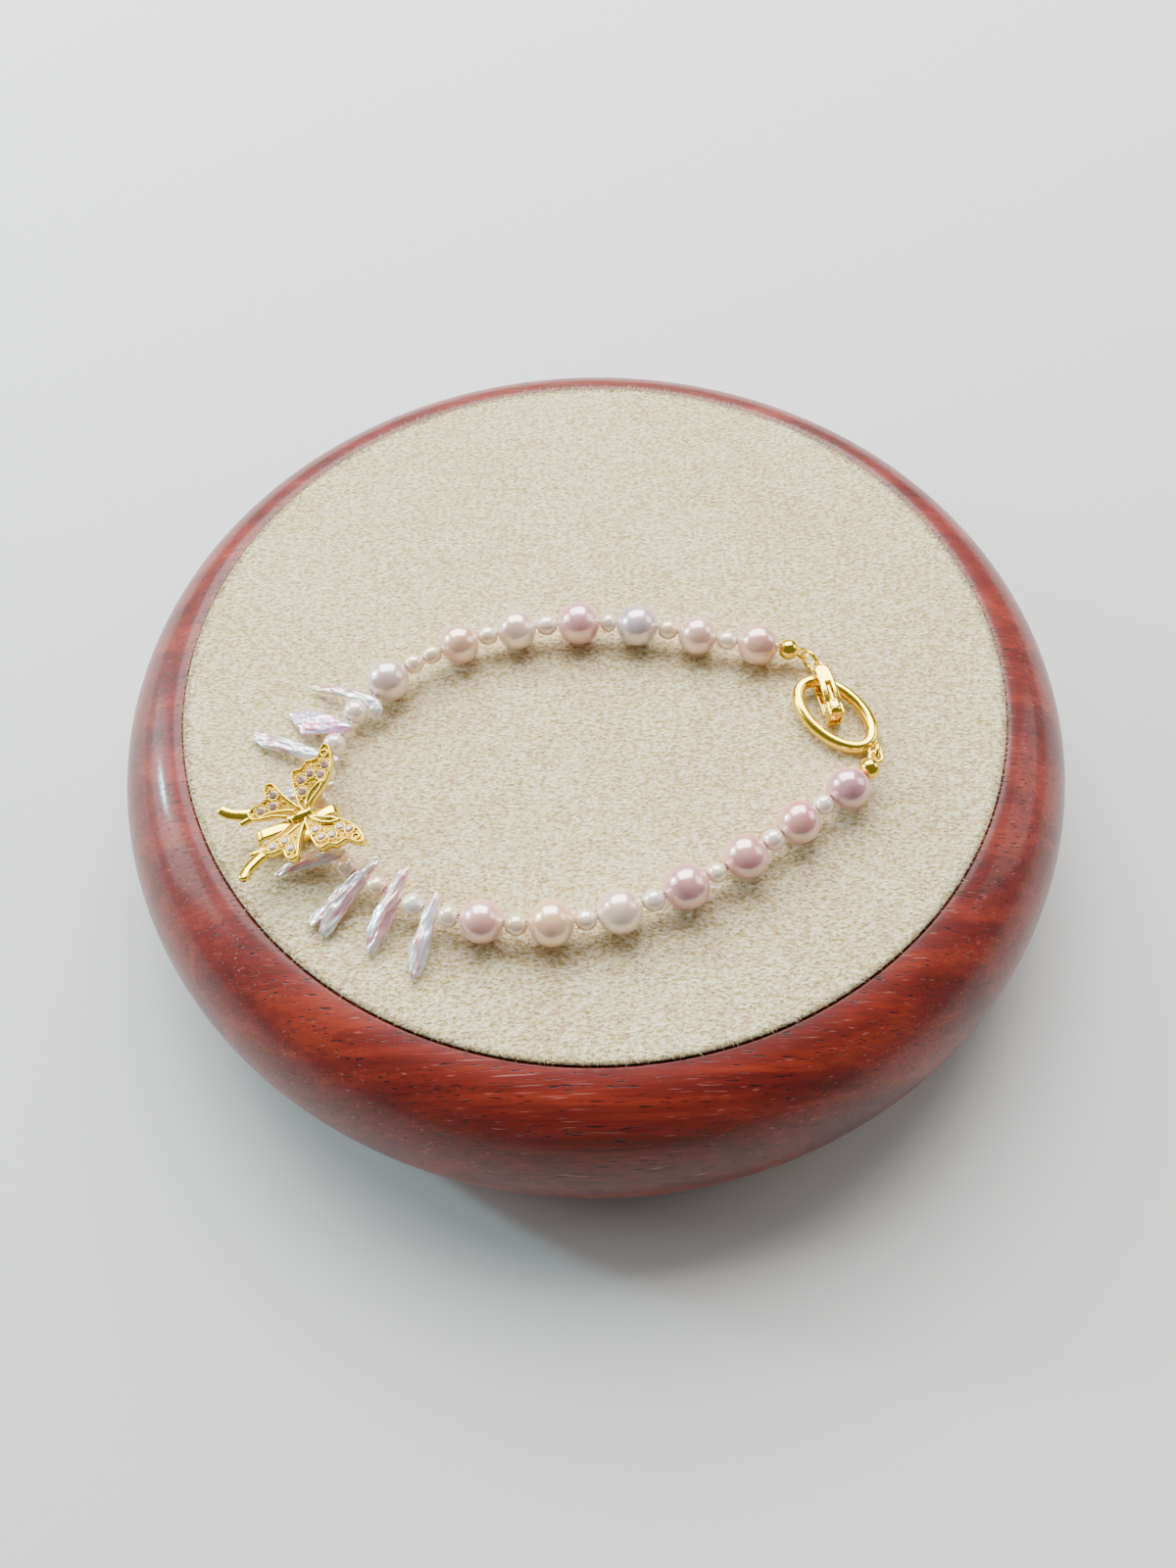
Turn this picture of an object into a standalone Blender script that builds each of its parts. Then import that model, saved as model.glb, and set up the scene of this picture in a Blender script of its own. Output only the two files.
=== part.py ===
"""Pearl bracelet lying closed on a round display board.

Metres, +Z up. The origin is the centre of the board's flat underside, and -Y is the near side.
Small parts are built along their own +X axis and then placed.
"""
import math

import bmesh
import bpy
from mathutils import Matrix, Vector

MM = 0.001

# Board and suede pad
PAD_RADIUS = 52.0 * MM
PAD_THICKNESS = 2.2 * MM
PAD_PROUD = 0.5 * MM
PAD_EDGE_ROUND = 0.4 * MM
RIM_WIDTH = 10.6 * MM
BOARD_HEIGHT = 26.0 * MM
RIM_FULLNESS = 1.9
BOARD_SIDES = 64
SEAT_GAP = 0.3 * MM

# Strand
PEARL_SIZE = 5.2 * MM
SEED_SIZE = 2.5 * MM
STICK_LENGTH = 10.0 * MM
STICK_WIDTH = 2.4 * MM
STICK_THICKNESS = 1.3 * MM
THREAD_RADIUS = 0.18 * MM
DRILL_RADIUS = 0.38 * MM
BEAD_GAP = 0.12 * MM
REST_GAP = 0.15 * MM
STICK_LIFT = 2.3 * MM
STICK_ROOM = 0.06 * MM
STICK_END_SHARE = 0.1
STICK_TOUCH_SHARE = 0.96
FORK_SPREAD = 0.32
PEARL_SIDES = 14
SEED_SIDES = 10
STICK_SIDES = 10
STICK_STATIONS = 10

# End balls and jump rings
BALL_SIZE = 2.6 * MM
BALL_DRILL_DEPTH = 1.5 * MM
THREAD_DEPTH = 1.2 * MM
EYE_RADIUS = 0.74 * MM
EYE_WIRE = 0.45 * MM
JUMP_RADIUS = 1.38 * MM
JUMP_WIRE = 0.5 * MM
SOLDER_SHARE = 0.25
FACE_STEP = 0.03 * MM

# Clasp
OVAL_LENGTH = 12.3 * MM
OVAL_BREADTH = 7.8 * MM
OVAL_WIRE_WIDTH = 1.3 * MM
OVAL_WIRE_HEIGHT = 1.5 * MM
OVAL_CENTRE = (29.7 * MM, -9.2 * MM)
OVAL_HEADING = math.radians(-51.3)
CROSSING_SHARE = 0.76
CLIP_HEADING = math.radians(100.0)
CLIP_WIDTH = 1.9 * MM
CLIP_TIP_SHARE = 0.76
CLIP_PLATE = 0.5 * MM
CLIP_ARCH = 0.25 * MM
CLASP_CLEARANCE = 0.15 * MM
PIN_SETBACK = 0.26 * MM
PIN_RADIUS = 0.3 * MM
KNUCKLE_WALL = 0.3 * MM
EAR_WIDTH = 0.3 * MM
POST_LENGTH = 0.5 * MM
POST_WIDTH = 1.3 * MM
BALL_A_HEADING = math.radians(172.0)
LINK_A_HEADING = math.radians(125.0)
LINK_B_HEADING = math.radians(-104.0)
BALL_B_HEADING = math.radians(-122.0)

# Butterfly
WING_REACH = 7.4 * MM
WING_SINK = 0.176 * MM
WING_THICKNESS = 0.95 * MM
WING_RIM = 0.32 * MM
WING_RECESS = 0.3 * MM
WING_RISE = math.radians(8.7)
BODY_PITCH = math.radians(7.0)
BODY_LENGTH = 2.8 * MM
BODY_RADIUS = 0.62 * MM
BODY_LIFT = 4.6 * MM
BODY_SETBACK = 2.1 * MM
TAIL_WIDTH = 1.0 * MM
TAIL_THICKNESS = 0.86 * MM
PRONG_WIDTH = 0.7 * MM
PRONG_THICKNESS = 0.76 * MM
STRIP_END_SHARE = 0.72
STONE_RADIUS = 0.56 * MM
BAND_LENGTH = 10.0 * MM
BAND_WIDTH = 1.4 * MM
BAND_PLATE = 0.5 * MM
BAND_CORNER = 1.1 * MM
BAND_AHEAD = 2.2 * MM
BAND_ROOM = 0.55 * MM
BUTTERFLY_SKEW = math.radians(12.0)

# Chosen points of the strand's way round the pad, in plan, in millimetres
ROUTE = [
    (21.2, 0.5), (13.5, 2.6), (5.9, 4.5), (-1.7, 5.0), (-9.8, 4.3), (-17.1, 2.1), (-22.4, -0.9),
    (-26.4, -4.4), (-29.7, -9.2), (-31.4, -14.8), (-31.4, -20.6), (-30.1, -26.0), (-27.2, -29.3),
    (-23.2, -31.9), (-17.6, -34.9), (-9.9, -36.7), (-2.1, -36.7), (5.5, -34.8), (12.7, -31.7),
    (19.6, -27.7), (28.6, -21.3),
]

# The pieces in order from ball a to ball b. Shares of PEARL_SIZE or SEED_SIZE for round beads.
STRAND = [
    # kind, share across, share along the thread
    ("pearl", 0.99, 0.99), ("seed", 0.96, 1.00), ("pearl", 0.95, 0.95), ("seed", 0.98, 1.00),
    ("pearl", 1.01, 1.01), ("seed", 0.98, 0.80), ("pearl", 1.04, 1.03), ("seed", 1.00, 1.06),
    ("pearl", 0.96, 0.95), ("seed", 0.96, 0.98), ("pearl", 0.96, 0.95), ("seed", 0.92, 0.96),
    ("seed", 1.00, 1.00), ("pearl", 1.01, 1.01), ("stick", 1.00, 1.00), ("seed", 1.22, 1.12),
    ("stick", 1.00, 1.00), ("seed", 1.08, 1.02), ("stick", 1.00, 1.00), ("seed", 1.00, 0.96),
    ("stick", 1.00, 1.00), ("seed", 1.00, 0.96), ("butterfly", 1.00, 1.00), ("seed", 1.02, 1.00),
    ("stick", 1.00, 1.00), ("seed", 1.00, 0.98), ("stick", 1.00, 1.00), ("seed", 0.96, 0.94),
    ("stick", 1.00, 1.00), ("seed", 1.00, 1.00), ("stick", 1.00, 1.00), ("seed", 1.06, 0.94),
    ("pearl", 0.96, 0.96), ("seed", 1.00, 1.00), ("pearl", 1.02, 0.98), ("seed", 1.00, 0.96),
    ("pearl", 1.00, 1.00), ("seed", 1.02, 1.02), ("pearl", 1.03, 1.02), ("seed", 0.96, 0.92),
    ("pearl", 1.02, 1.01), ("seed", 1.02, 1.00), ("pearl", 0.98, 0.98), ("seed", 0.98, 0.94),
    ("pearl", 0.99, 0.98),
]

# Stick pearls in the strand's order. Turn is in degrees from the strand's outward normal.
# Length, width and thickness are shares of the STICK sizes; hole, belly and fork are shares of
# the stick's own length from its inner end; inner and tip are end widths as shares of its width.
STICKS = [
    # turn, length, width, thickness, hole, belly, inner, tip, bend, fork
    (20.0, 0.95, 0.62, 1.00, 0.13, 0.45, 0.85, 0.45, 0.05, 0.00),
    (12.0, 0.93, 1.16, 0.85, 0.13, 0.40, 0.55, 0.30, -0.03, 0.00),
    (-11.0, 1.24, 0.70, 0.85, 0.10, 0.72, 0.70, 0.70, -0.03, 0.00),
    (4.0, 0.98, 0.78, 0.90, 0.16, 0.50, 0.35, 0.50, 0.03, 0.00),
    (-17.0, 0.90, 0.85, 0.80, 0.16, 0.45, 0.60, 0.30, 0.05, 0.00),
    (-6.0, 1.06, 1.20, 1.00, 0.26, 0.88, 0.20, 0.92, 0.03, 0.12),
    (3.0, 1.06, 1.02, 1.10, 0.34, 0.60, 0.42, 0.55, 0.06, 0.00),
    (6.0, 0.99, 0.95, 1.15, 0.22, 0.68, 0.42, 0.28, 0.04, 0.00),
]

# Butterfly outlines, along the body and out from the wings' root in it, as shares of WING_REACH
FOREWING = [
    # along, out
    (0.10, 0.00), (0.20, 0.02), (0.33, 0.12), (0.50, 0.23), (0.66, 0.40), (0.77, 0.59),
    (0.81, 0.78), (0.79, 0.91), (0.73, 0.94), (0.65, 0.85), (0.56, 0.76), (0.45, 0.77),
    (0.37, 0.77), (0.28, 0.69), (0.16, 0.71), (0.10, 0.66), (0.06, 0.48), (0.05, 0.28),
    (0.03, 0.06),
]
HINDWING = [
    # along, out
    (0.02, 0.02), (-0.04, 0.14), (-0.11, 0.38), (-0.19, 0.59), (-0.24, 0.67), (-0.32, 0.68),
    (-0.39, 0.60), (-0.41, 0.44), (-0.52, 0.43), (-0.65, 0.40), (-0.74, 0.33), (-0.74, 0.23),
    (-0.62, 0.17), (-0.38, 0.13), (-0.13, 0.02),
]
TAIL = [
    # along, out
    (-0.66, 0.32), (-0.80, 0.36), (-0.93, 0.43), (-1.02, 0.49), (-1.10, 0.58),
]
PRONG = [
    # along, out
    (-0.66, 0.26), (-0.78, 0.25), (-0.88, 0.24),
]
LEAF = [
    # along, out
    (0.19, 0.04), (0.34, 0.11), (0.48, 0.22), (0.55, 0.32), (0.42, 0.31), (0.27, 0.23),
    (0.20, 0.13),
]
STONES = [
    # along, out
    (0.16, 0.32), (0.21, 0.50), (0.37, 0.55), (0.52, 0.46), (0.64, 0.58),
    (-0.28, 0.46), (-0.34, 0.28), (-0.54, 0.29),
]
STONE_FORM = [
    # height and radius as shares of STONE_RADIUS
    (-0.80, 0.00), (0.00, 1.00), (0.45, 0.60), (0.45, 0.00),
]
BODY_FORM = [
    # share of the length, share of the radius
    (0.00, 0.00), (0.02, 0.60), (0.14, 0.86), (0.30, 0.84), (0.36, 0.66), (0.44, 0.92),
    (0.70, 1.00), (0.92, 0.88), (1.00, 0.55), (1.00, 0.00),
]

PAD_TOP = BOARD_HEIGHT + PAD_PROUD
UP = Vector((0.0, 0.0, 1.0))


def material(name, colour, roughness, metallic=0.0):
    found = bpy.data.materials.get(name)
    if found:
        return found
    made = bpy.data.materials.new(name)
    made.use_nodes = True
    shader = made.node_tree.nodes["Principled BSDF"]
    shader.inputs["Base Color"].default_value = (*colour, 1.0)
    shader.inputs["Roughness"].default_value = roughness
    shader.inputs["Metallic"].default_value = metallic
    return made


def gold():
    return material("gold_plate", (0.83, 0.62, 0.24), 0.16, 1.0)


def add_object(name, mesh, look):
    """Put a finished mesh or bmesh into the scene under its node name."""
    if isinstance(mesh, bmesh.types.BMesh):
        bmesh.ops.recalc_face_normals(mesh, faces=mesh.faces)
        data = bpy.data.meshes.new(name)
        mesh.to_mesh(data)
        mesh.free()
        data.shade_smooth()
        data.set_sharp_from_angle(angle=math.radians(40.0))
        mesh = data
    mesh.materials.append(look)
    made = bpy.data.objects.new(name, mesh)
    bpy.context.scene.collection.objects.link(made)
    return made


def place(obj, origin, along, up=UP):
    """Stand an object at origin with its +X along the given direction and +Z nearest to up."""
    x_axis = Vector(along).normalized()
    z_axis = (up - x_axis * up.dot(x_axis)).normalized()
    y_axis = z_axis.cross(x_axis)
    turn = Matrix((x_axis, y_axis, z_axis)).transposed()
    obj.matrix_world = Matrix.Translation(origin) @ turn.to_4x4()
    return obj


def use_as_tool(target, tool, operation):
    """Let a hidden tool object cut or join a target with a Boolean modifier."""
    tool.parent = target
    tool.hide_render = True
    tool.display_type = "WIRE"
    step = target.modifiers.new(tool.name, "BOOLEAN")
    step.operation = operation
    step.solver = "EXACT"
    step.object = tool


def turned(profile, sides, closed=False, axis="X"):
    """Turn rows of (along, radius) round an axis. A closed profile leaves a bore."""
    mesh = bmesh.new()
    if axis == "X":
        points = [mesh.verts.new((along, 0.0, radius)) for along, radius in profile]
    else:
        points = [mesh.verts.new((radius, 0.0, along)) for along, radius in profile]
    pairs = list(zip(points, points[1:]))
    if closed:
        pairs.append((points[-1], points[0]))
    edges = [mesh.edges.new(pair) for pair in pairs]
    direction = (1.0, 0.0, 0.0) if axis == "X" else (0.0, 0.0, 1.0)
    bmesh.ops.spin(
        mesh, geom=points + edges, cent=(0.0, 0.0, 0.0), axis=direction,
        angle=math.tau, steps=sides, use_merge=True,
    )
    bmesh.ops.remove_doubles(mesh, verts=mesh.verts, dist=1e-7)
    return mesh


def extruded(corners, bottom, top):
    """A closed solid of a plan outline between two heights, and its upper faces."""
    mesh = bmesh.new()
    face = mesh.faces.new([mesh.verts.new((x, y, bottom)) for x, y in corners])
    grown = bmesh.ops.extrude_face_region(mesh, geom=[face])
    lifted = [item for item in grown["geom"] if isinstance(item, bmesh.types.BMVert)]
    bmesh.ops.translate(mesh, vec=(0.0, 0.0, top - bottom), verts=lifted)
    roof = [item for item in grown["geom"] if isinstance(item, bmesh.types.BMFace)]
    bmesh.ops.recalc_face_normals(mesh, faces=mesh.faces)
    return mesh, roof


def plan(angle):
    """Unit vector in plan at an angle from +X."""
    return Vector((math.cos(angle), math.sin(angle), 0.0))


# Display board

def build_board():
    inner = PAD_RADIUS + SEAT_GAP
    recess = BOARD_HEIGHT - (PAD_THICKNESS - PAD_PROUD) - SEAT_GAP
    steps = 12
    rim = []
    for step in range(steps + 1):
        angle = math.pi * (step / steps - 0.5)
        out = abs(math.cos(angle)) ** (2.0 / RIM_FULLNESS)
        rise = math.copysign(abs(math.sin(angle)) ** (2.0 / RIM_FULLNESS), angle)
        rim.append((BOARD_HEIGHT * 0.5 * (1.0 + rise), inner + RIM_WIDTH * out))
    profile = [(0.0, 0.0)] + rim + [(recess, inner), (recess, 0.0)]
    wood = material("rosewood", (0.25, 0.035, 0.018), 0.2)
    return add_object("stand_base", turned(profile, BOARD_SIDES, axis="Z"), wood)


def build_pad():
    bottom = PAD_TOP - PAD_THICKNESS
    profile = [(bottom, 0.0), (bottom, PAD_RADIUS)]
    steps = 3
    for step in range(steps + 1):
        angle = math.pi * 0.5 * step / steps
        profile.append((
            PAD_TOP - PAD_EDGE_ROUND * (1.0 - math.sin(angle)),
            PAD_RADIUS - PAD_EDGE_ROUND * (1.0 - math.cos(angle)),
        ))
    profile.append((PAD_TOP, 0.0))
    suede = material("suede", (0.66, 0.60, 0.47), 0.95)
    return add_object("stand_pad", turned(profile, BOARD_SIDES, axis="Z"), suede)


# Clasp, balls and jump rings

def ring_mesh(radius, wire, sides=12, wire_sides=6):
    """A round ring of round wire in the XY plane."""
    profile = []
    for side in range(wire_sides):
        angle = math.tau * side / wire_sides
        profile.append((wire * 0.5 * math.sin(angle), radius + wire * 0.5 * math.cos(angle)))
    return turned(profile, sides, closed=True, axis="Z")


def ellipse_reach(start, heading, semi_long, semi_short):
    """How far along a heading from a plan point the clasp's oval outline lies."""
    to_oval = Matrix.Rotation(-OVAL_HEADING, 3, "Z")
    origin = to_oval @ (start - Vector((*OVAL_CENTRE, 0.0)))
    ray = to_oval @ plan(heading)
    a = (ray.x / semi_long) ** 2 + (ray.y / semi_short) ** 2
    b = 2.0 * (origin.x * ray.x / semi_long ** 2 + origin.y * ray.y / semi_short ** 2)
    c = (origin.x / semi_long) ** 2 + (origin.y / semi_short) ** 2 - 1.0
    return (-b + math.sqrt(b * b - 4.0 * a * c)) / (2.0 * a)


CLIP_SIDE = plan(CLIP_HEADING + math.pi * 0.5)
PIN_PLAN = Vector((*OVAL_CENTRE, 0.0)) - plan(OVAL_HEADING + math.pi * 0.5) * PIN_SETBACK
POST_START = CLASP_CLEARANCE + max(
    ellipse_reach(PIN_PLAN + CLIP_SIDE * side, CLIP_HEADING, OVAL_LENGTH * 0.5, OVAL_BREADTH * 0.5)
    for side in (-CLIP_WIDTH * 0.5, 0.0, CLIP_WIDTH * 0.5)
)
POST_END = POST_START + POST_LENGTH
KNUCKLE_RADIUS = PIN_RADIUS + CLASP_CLEARANCE + KNUCKLE_WALL
TONGUE_WIDTH = CLIP_WIDTH - 2.0 * EAR_WIDTH - 2.0 * CLASP_CLEARANCE
WIRE_RISE = (CLIP_PLATE + CLASP_CLEARANCE) / CROSSING_SHARE
WIRE_TILT = math.asin(WIRE_RISE / OVAL_LENGTH)
STRIP_TOP = REST_GAP + CLIP_PLATE
WIRE_TOP = REST_GAP + WIRE_RISE + OVAL_WIRE_HEIGHT
LEVER_BOTTOM = WIRE_TOP + CLASP_CLEARANCE
PIN_LIFT = LEVER_BOTTOM + CLIP_PLATE - KNUCKLE_RADIUS
LINK_LIFT = REST_GAP + JUMP_RADIUS + JUMP_WIRE * 0.5


def build_oval():
    """The oval ring, its near end on the pad and its far end tipped up over the clip."""
    stations = 26
    section = 6
    middle_long = (OVAL_LENGTH - OVAL_WIRE_WIDTH) * 0.5
    middle_short = (OVAL_BREADTH - OVAL_WIRE_WIDTH) * 0.5
    mesh = bmesh.new()
    loops = []
    for station in range(stations):
        angle = math.tau * station / stations
        centre = Vector((middle_long * math.cos(angle), middle_short * math.sin(angle), 0.0))
        normal = Vector((middle_short * math.cos(angle), middle_long * math.sin(angle), 0.0))
        normal.normalize()
        loop = []
        for side in range(section):
            turn = math.tau * (side + 0.5) / section
            out = normal * math.cos(turn) * OVAL_WIRE_WIDTH * 0.5
            loop.append(mesh.verts.new(centre + out + UP * math.sin(turn) * OVAL_WIRE_HEIGHT * 0.5))
        loops.append(loop)
    for station in range(stations):
        here = loops[station]
        after = loops[(station + 1) % stations]
        for side in range(section):
            other = (side + 1) % section
            mesh.faces.new((here[side], here[other], after[other], after[side]))
    oval = add_object("oval_ring", mesh, gold())
    tilt = plan(OVAL_HEADING) * math.cos(WIRE_TILT) - UP * math.sin(WIRE_TILT)
    lift = REST_GAP + (OVAL_WIRE_HEIGHT + WIRE_RISE) * 0.5
    centre = Vector((*OVAL_CENTRE, PAD_TOP + lift))
    lug = add_object("oval_ring_lug", ring_mesh(EYE_RADIUS, JUMP_WIRE), gold())
    lug_reach = OVAL_LENGTH * 0.5 + EYE_RADIUS - JUMP_WIRE * SOLDER_SHARE
    lug.location = (lug_reach, 0.0, 0.0)
    place(oval, centre, tilt)
    use_as_tool(oval, lug, "UNION")
    return centre + tilt * lug_reach


def slab(name, length, width, height, centre):
    """A closed block, for the clasp's flat parts."""
    mesh = bmesh.new()
    bmesh.ops.create_cube(mesh, size=1.0)
    bmesh.ops.scale(mesh, vec=(length, width, height), verts=mesh.verts)
    bmesh.ops.translate(mesh, vec=centre, verts=mesh.verts)
    return add_object(name, mesh, gold())


def rod(name, radius, length, sides=12):
    """A closed round bar along Y, centred on the origin."""
    mesh = turned([(-length * 0.5, 0.0), (-length * 0.5, radius), (length * 0.5, radius),
                   (length * 0.5, 0.0)], sides)
    bmesh.ops.rotate(
        mesh, verts=mesh.verts, cent=(0.0, 0.0, 0.0), matrix=Matrix.Rotation(math.pi * 0.5, 3, "Z"))
    return add_object(name, mesh, gold())


def build_clip():
    """The clip's fixed half and its lever, both about the hinge pin."""
    pin = PIN_PLAN + UP * (PAD_TOP + PIN_LIFT)
    back = KNUCKLE_RADIUS + CLASP_CLEARANCE
    strip_z = STRIP_TOP - CLIP_PLATE * 0.5 - PIN_LIFT
    strip_length = POST_END + back
    frame = slab("clasp_frame", strip_length, CLIP_WIDTH, CLIP_PLATE,
                 ((POST_END - back) * 0.5, 0.0, strip_z))
    ear_top = PIN_RADIUS + KNUCKLE_WALL
    ear_height = ear_top - strip_z
    # The ears stop short in front of the pin, so that the lever's shoulder swings past them.
    ear_length = back + ear_top
    for side, label in ((1.0, "left"), (-1.0, "right")):
        ear = slab("clasp_frame_ear_" + label, ear_length, EAR_WIDTH, ear_height, (
            ear_top - ear_length * 0.5, side * (CLIP_WIDTH - EAR_WIDTH) * 0.5,
            ear_top - ear_height * 0.5))
        use_as_tool(frame, ear, "UNION")
    post_top = LEVER_BOTTOM - CLASP_CLEARANCE - PIN_LIFT
    post = slab("clasp_frame_post", POST_LENGTH, POST_WIDTH, post_top - strip_z, (
        POST_END - POST_LENGTH * 0.5 - FACE_STEP, 0.0, (post_top + strip_z) * 0.5))
    use_as_tool(frame, post, "UNION")
    use_as_tool(frame, rod("clasp_frame_pin", PIN_RADIUS, CLIP_WIDTH - 2.0 * FACE_STEP), "UNION")
    eye = add_object("clasp_frame_eye", ring_mesh(EYE_RADIUS, EYE_WIRE), gold())
    eye_reach = POST_END + EYE_RADIUS - EYE_WIRE * SOLDER_SHARE
    eye.location = (eye_reach, 0.0, LINK_LIFT - PIN_LIFT)
    use_as_tool(frame, eye, "UNION")
    place(frame, pin, plan(CLIP_HEADING))

    lever = build_lever(back)
    place(lever, pin, plan(CLIP_HEADING))
    return pin + plan(CLIP_HEADING) * eye_reach + UP * (LINK_LIFT - PIN_LIFT)


def build_lever(back):
    """The arched upper half, its tongue ending in a knuckle round the pin."""
    floor = LEVER_BOTTOM - PIN_LIFT
    shoulder = back + CLASP_CLEARANCE
    steps = 6
    mesh = bmesh.new()
    rows = []
    for step in range(steps + 1):
        share = step / steps
        along = shoulder + (POST_END - shoulder) * share
        rise = CLIP_ARCH * math.sin(math.pi * share)
        half = CLIP_WIDTH * 0.5 * (1.0 - (1.0 - CLIP_TIP_SHARE) * share)
        corners = [(-half, floor + rise), (half, floor + rise), (half, floor + rise + CLIP_PLATE),
                   (-half, floor + rise + CLIP_PLATE)]
        rows.append([mesh.verts.new((along, y, z)) for y, z in corners])
    for near, far in zip(rows, rows[1:]):
        for corner in range(4):
            other = (corner + 1) % 4
            mesh.faces.new((near[corner], near[other], far[other], far[corner]))
    mesh.faces.new(rows[0])
    mesh.faces.new(reversed(rows[-1]))
    lever = add_object("clasp_lever", mesh, gold())
    tongue_length = shoulder + CLASP_CLEARANCE
    tongue = slab("clasp_lever_tongue", tongue_length, TONGUE_WIDTH, CLIP_PLATE - FACE_STEP,
                  (tongue_length * 0.5, 0.0, floor + CLIP_PLATE * 0.5))
    use_as_tool(lever, tongue, "UNION")
    use_as_tool(lever, rod("clasp_lever_knuckle", KNUCKLE_RADIUS, TONGUE_WIDTH), "UNION")
    bore = rod("clasp_lever_bore", PIN_RADIUS + CLASP_CLEARANCE, CLIP_WIDTH)
    use_as_tool(lever, bore, "DIFFERENCE")
    return lever


def build_jump_ring(name, first, heading):
    """A ring standing on the pad through an eye at first; it returns the next eye's place."""
    climb = 2.0 * (PAD_TOP + LINK_LIFT - first.z)
    span = math.sqrt((2.0 * JUMP_RADIUS) ** 2 - climb ** 2)
    second = first + plan(heading) * span + UP * climb
    ring = add_object(name, ring_mesh(JUMP_RADIUS, JUMP_WIRE), gold())
    sideways = plan(heading + math.pi * 0.5)
    place(ring, (first + second) * 0.5, second - first, sideways)
    return second


def build_end_ball(name, eye_centre, heading):
    """A drilled ball with its eye in a jump ring; returns where the strand leaves it."""
    radius = BALL_SIZE * 0.5
    reach = radius + EYE_RADIUS - EYE_WIRE * SOLDER_SHARE
    out = reach + radius + BEAD_GAP * 0.5
    climb = PAD_TOP + PEARL_SIZE * 0.5 + REST_GAP - eye_centre.z
    direction = plan(heading) * math.sqrt(out ** 2 - climb ** 2) + UP * climb
    direction.normalize()
    mouth = math.asin(DRILL_RADIUS / radius)
    steps = 7
    profile = []
    for step in range(steps + 1):
        angle = math.pi - (math.pi - mouth) * step / steps
        profile.append((radius * math.cos(angle), radius * math.sin(angle)))
    profile[0] = (-radius, 0.0)
    bore_end = radius - BALL_DRILL_DEPTH
    profile += [(bore_end, DRILL_RADIUS), (bore_end, 0.0)]
    ball = add_object(name, turned(profile, 12), gold())
    eye = add_object(name + "_eye", ring_mesh(EYE_RADIUS, EYE_WIRE), gold())
    eye.location = (-reach, 0.0, 0.0)
    place(ball, eye_centre + direction * reach, direction)
    use_as_tool(ball, eye, "UNION")
    return eye_centre + direction * out, direction


# Strand

def smooth_line(points, steps=12):
    """Points along a Catmull-Rom curve through the given points."""
    padded = [points[0] * 2.0 - points[1]] + points + [points[-1] * 2.0 - points[-2]]
    line = []
    for index in range(len(points) - 1):
        p0, p1, p2, p3 = padded[index:index + 4]
        for step in range(steps):
            t = step / steps
            line.append(0.5 * (
                2.0 * p1 + (p2 - p0) * t + (2.0 * p0 - 5.0 * p1 + 4.0 * p2 - p3) * t ** 2
                + (3.0 * p1 - p0 - 3.0 * p2 + p3) * t ** 3))
    line.append(points[-1])
    return line


def line_length(line):
    return sum((after - here).length for here, after in zip(line, line[1:]))


def route_line(start, end, stretch):
    """The strand's way in plan, its chosen points drawn away from the clasp by a share."""
    chord = (end - start).normalized()
    away = Vector((chord.y, -chord.x, 0.0))
    points = [start]
    for x, y in ROUTE:
        offset = Vector((x * MM, y * MM, 0.0)) - start
        points.append(start + offset + away * offset.dot(away) * (stretch - 1.0))
    points.append(end)
    return smooth_line(points)


def fit_route(start, end, length):
    """Stretch the route until it is as long as the beads on it."""
    low = 0.5
    high = 2.0
    for _ in range(40):
        middle = (low + high) * 0.5
        if line_length(route_line(start, end, middle)) < length:
            low = middle
        else:
            high = middle
    return route_line(start, end, low)


def points_at(line, distances):
    """Points of a line at growing distances from its start."""
    found = []
    walked = 0.0
    index = 0
    for distance in distances:
        while index < len(line) - 2 and walked + (line[index + 1] - line[index]).length < distance:
            walked += (line[index + 1] - line[index]).length
            index += 1
        piece = line[index + 1] - line[index]
        found.append(line[index] + piece * ((distance - walked) / piece.length))
    return found


def stick_width(row, share):
    """Half the width of a stick pearl at a share of its length from the inner end."""
    belly, inner, tip = row[5:8]
    if share <= belly:
        full = inner + (1.0 - inner) * math.sin(math.pi * 0.5 * share / belly)
    else:
        full = tip + (1.0 - tip) * math.cos(math.pi * 0.5 * (share - belly) / (1.0 - belly))
    end = min(share, 1.0 - share) / STICK_END_SHARE
    rounding = math.sqrt(max(0.0, 1.0 - (1.0 - min(end, 1.0)) ** 2))
    return STICK_WIDTH * row[2] * 0.5 * full * rounding


def round_bead(name, across, along, sides, segments, look):
    """A near-round drilled pearl, its bore along +X."""
    mouth = math.asin(DRILL_RADIUS / (across * 0.5))
    profile = []
    for step in range(segments + 1):
        angle = mouth + (math.pi - 2.0 * mouth) * step / segments
        profile.append((
            -along * 0.5 * math.cos(angle) / math.cos(mouth), across * 0.5 * math.sin(angle)))
    return add_object(name, turned(profile, sides, closed=True), look)


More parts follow.
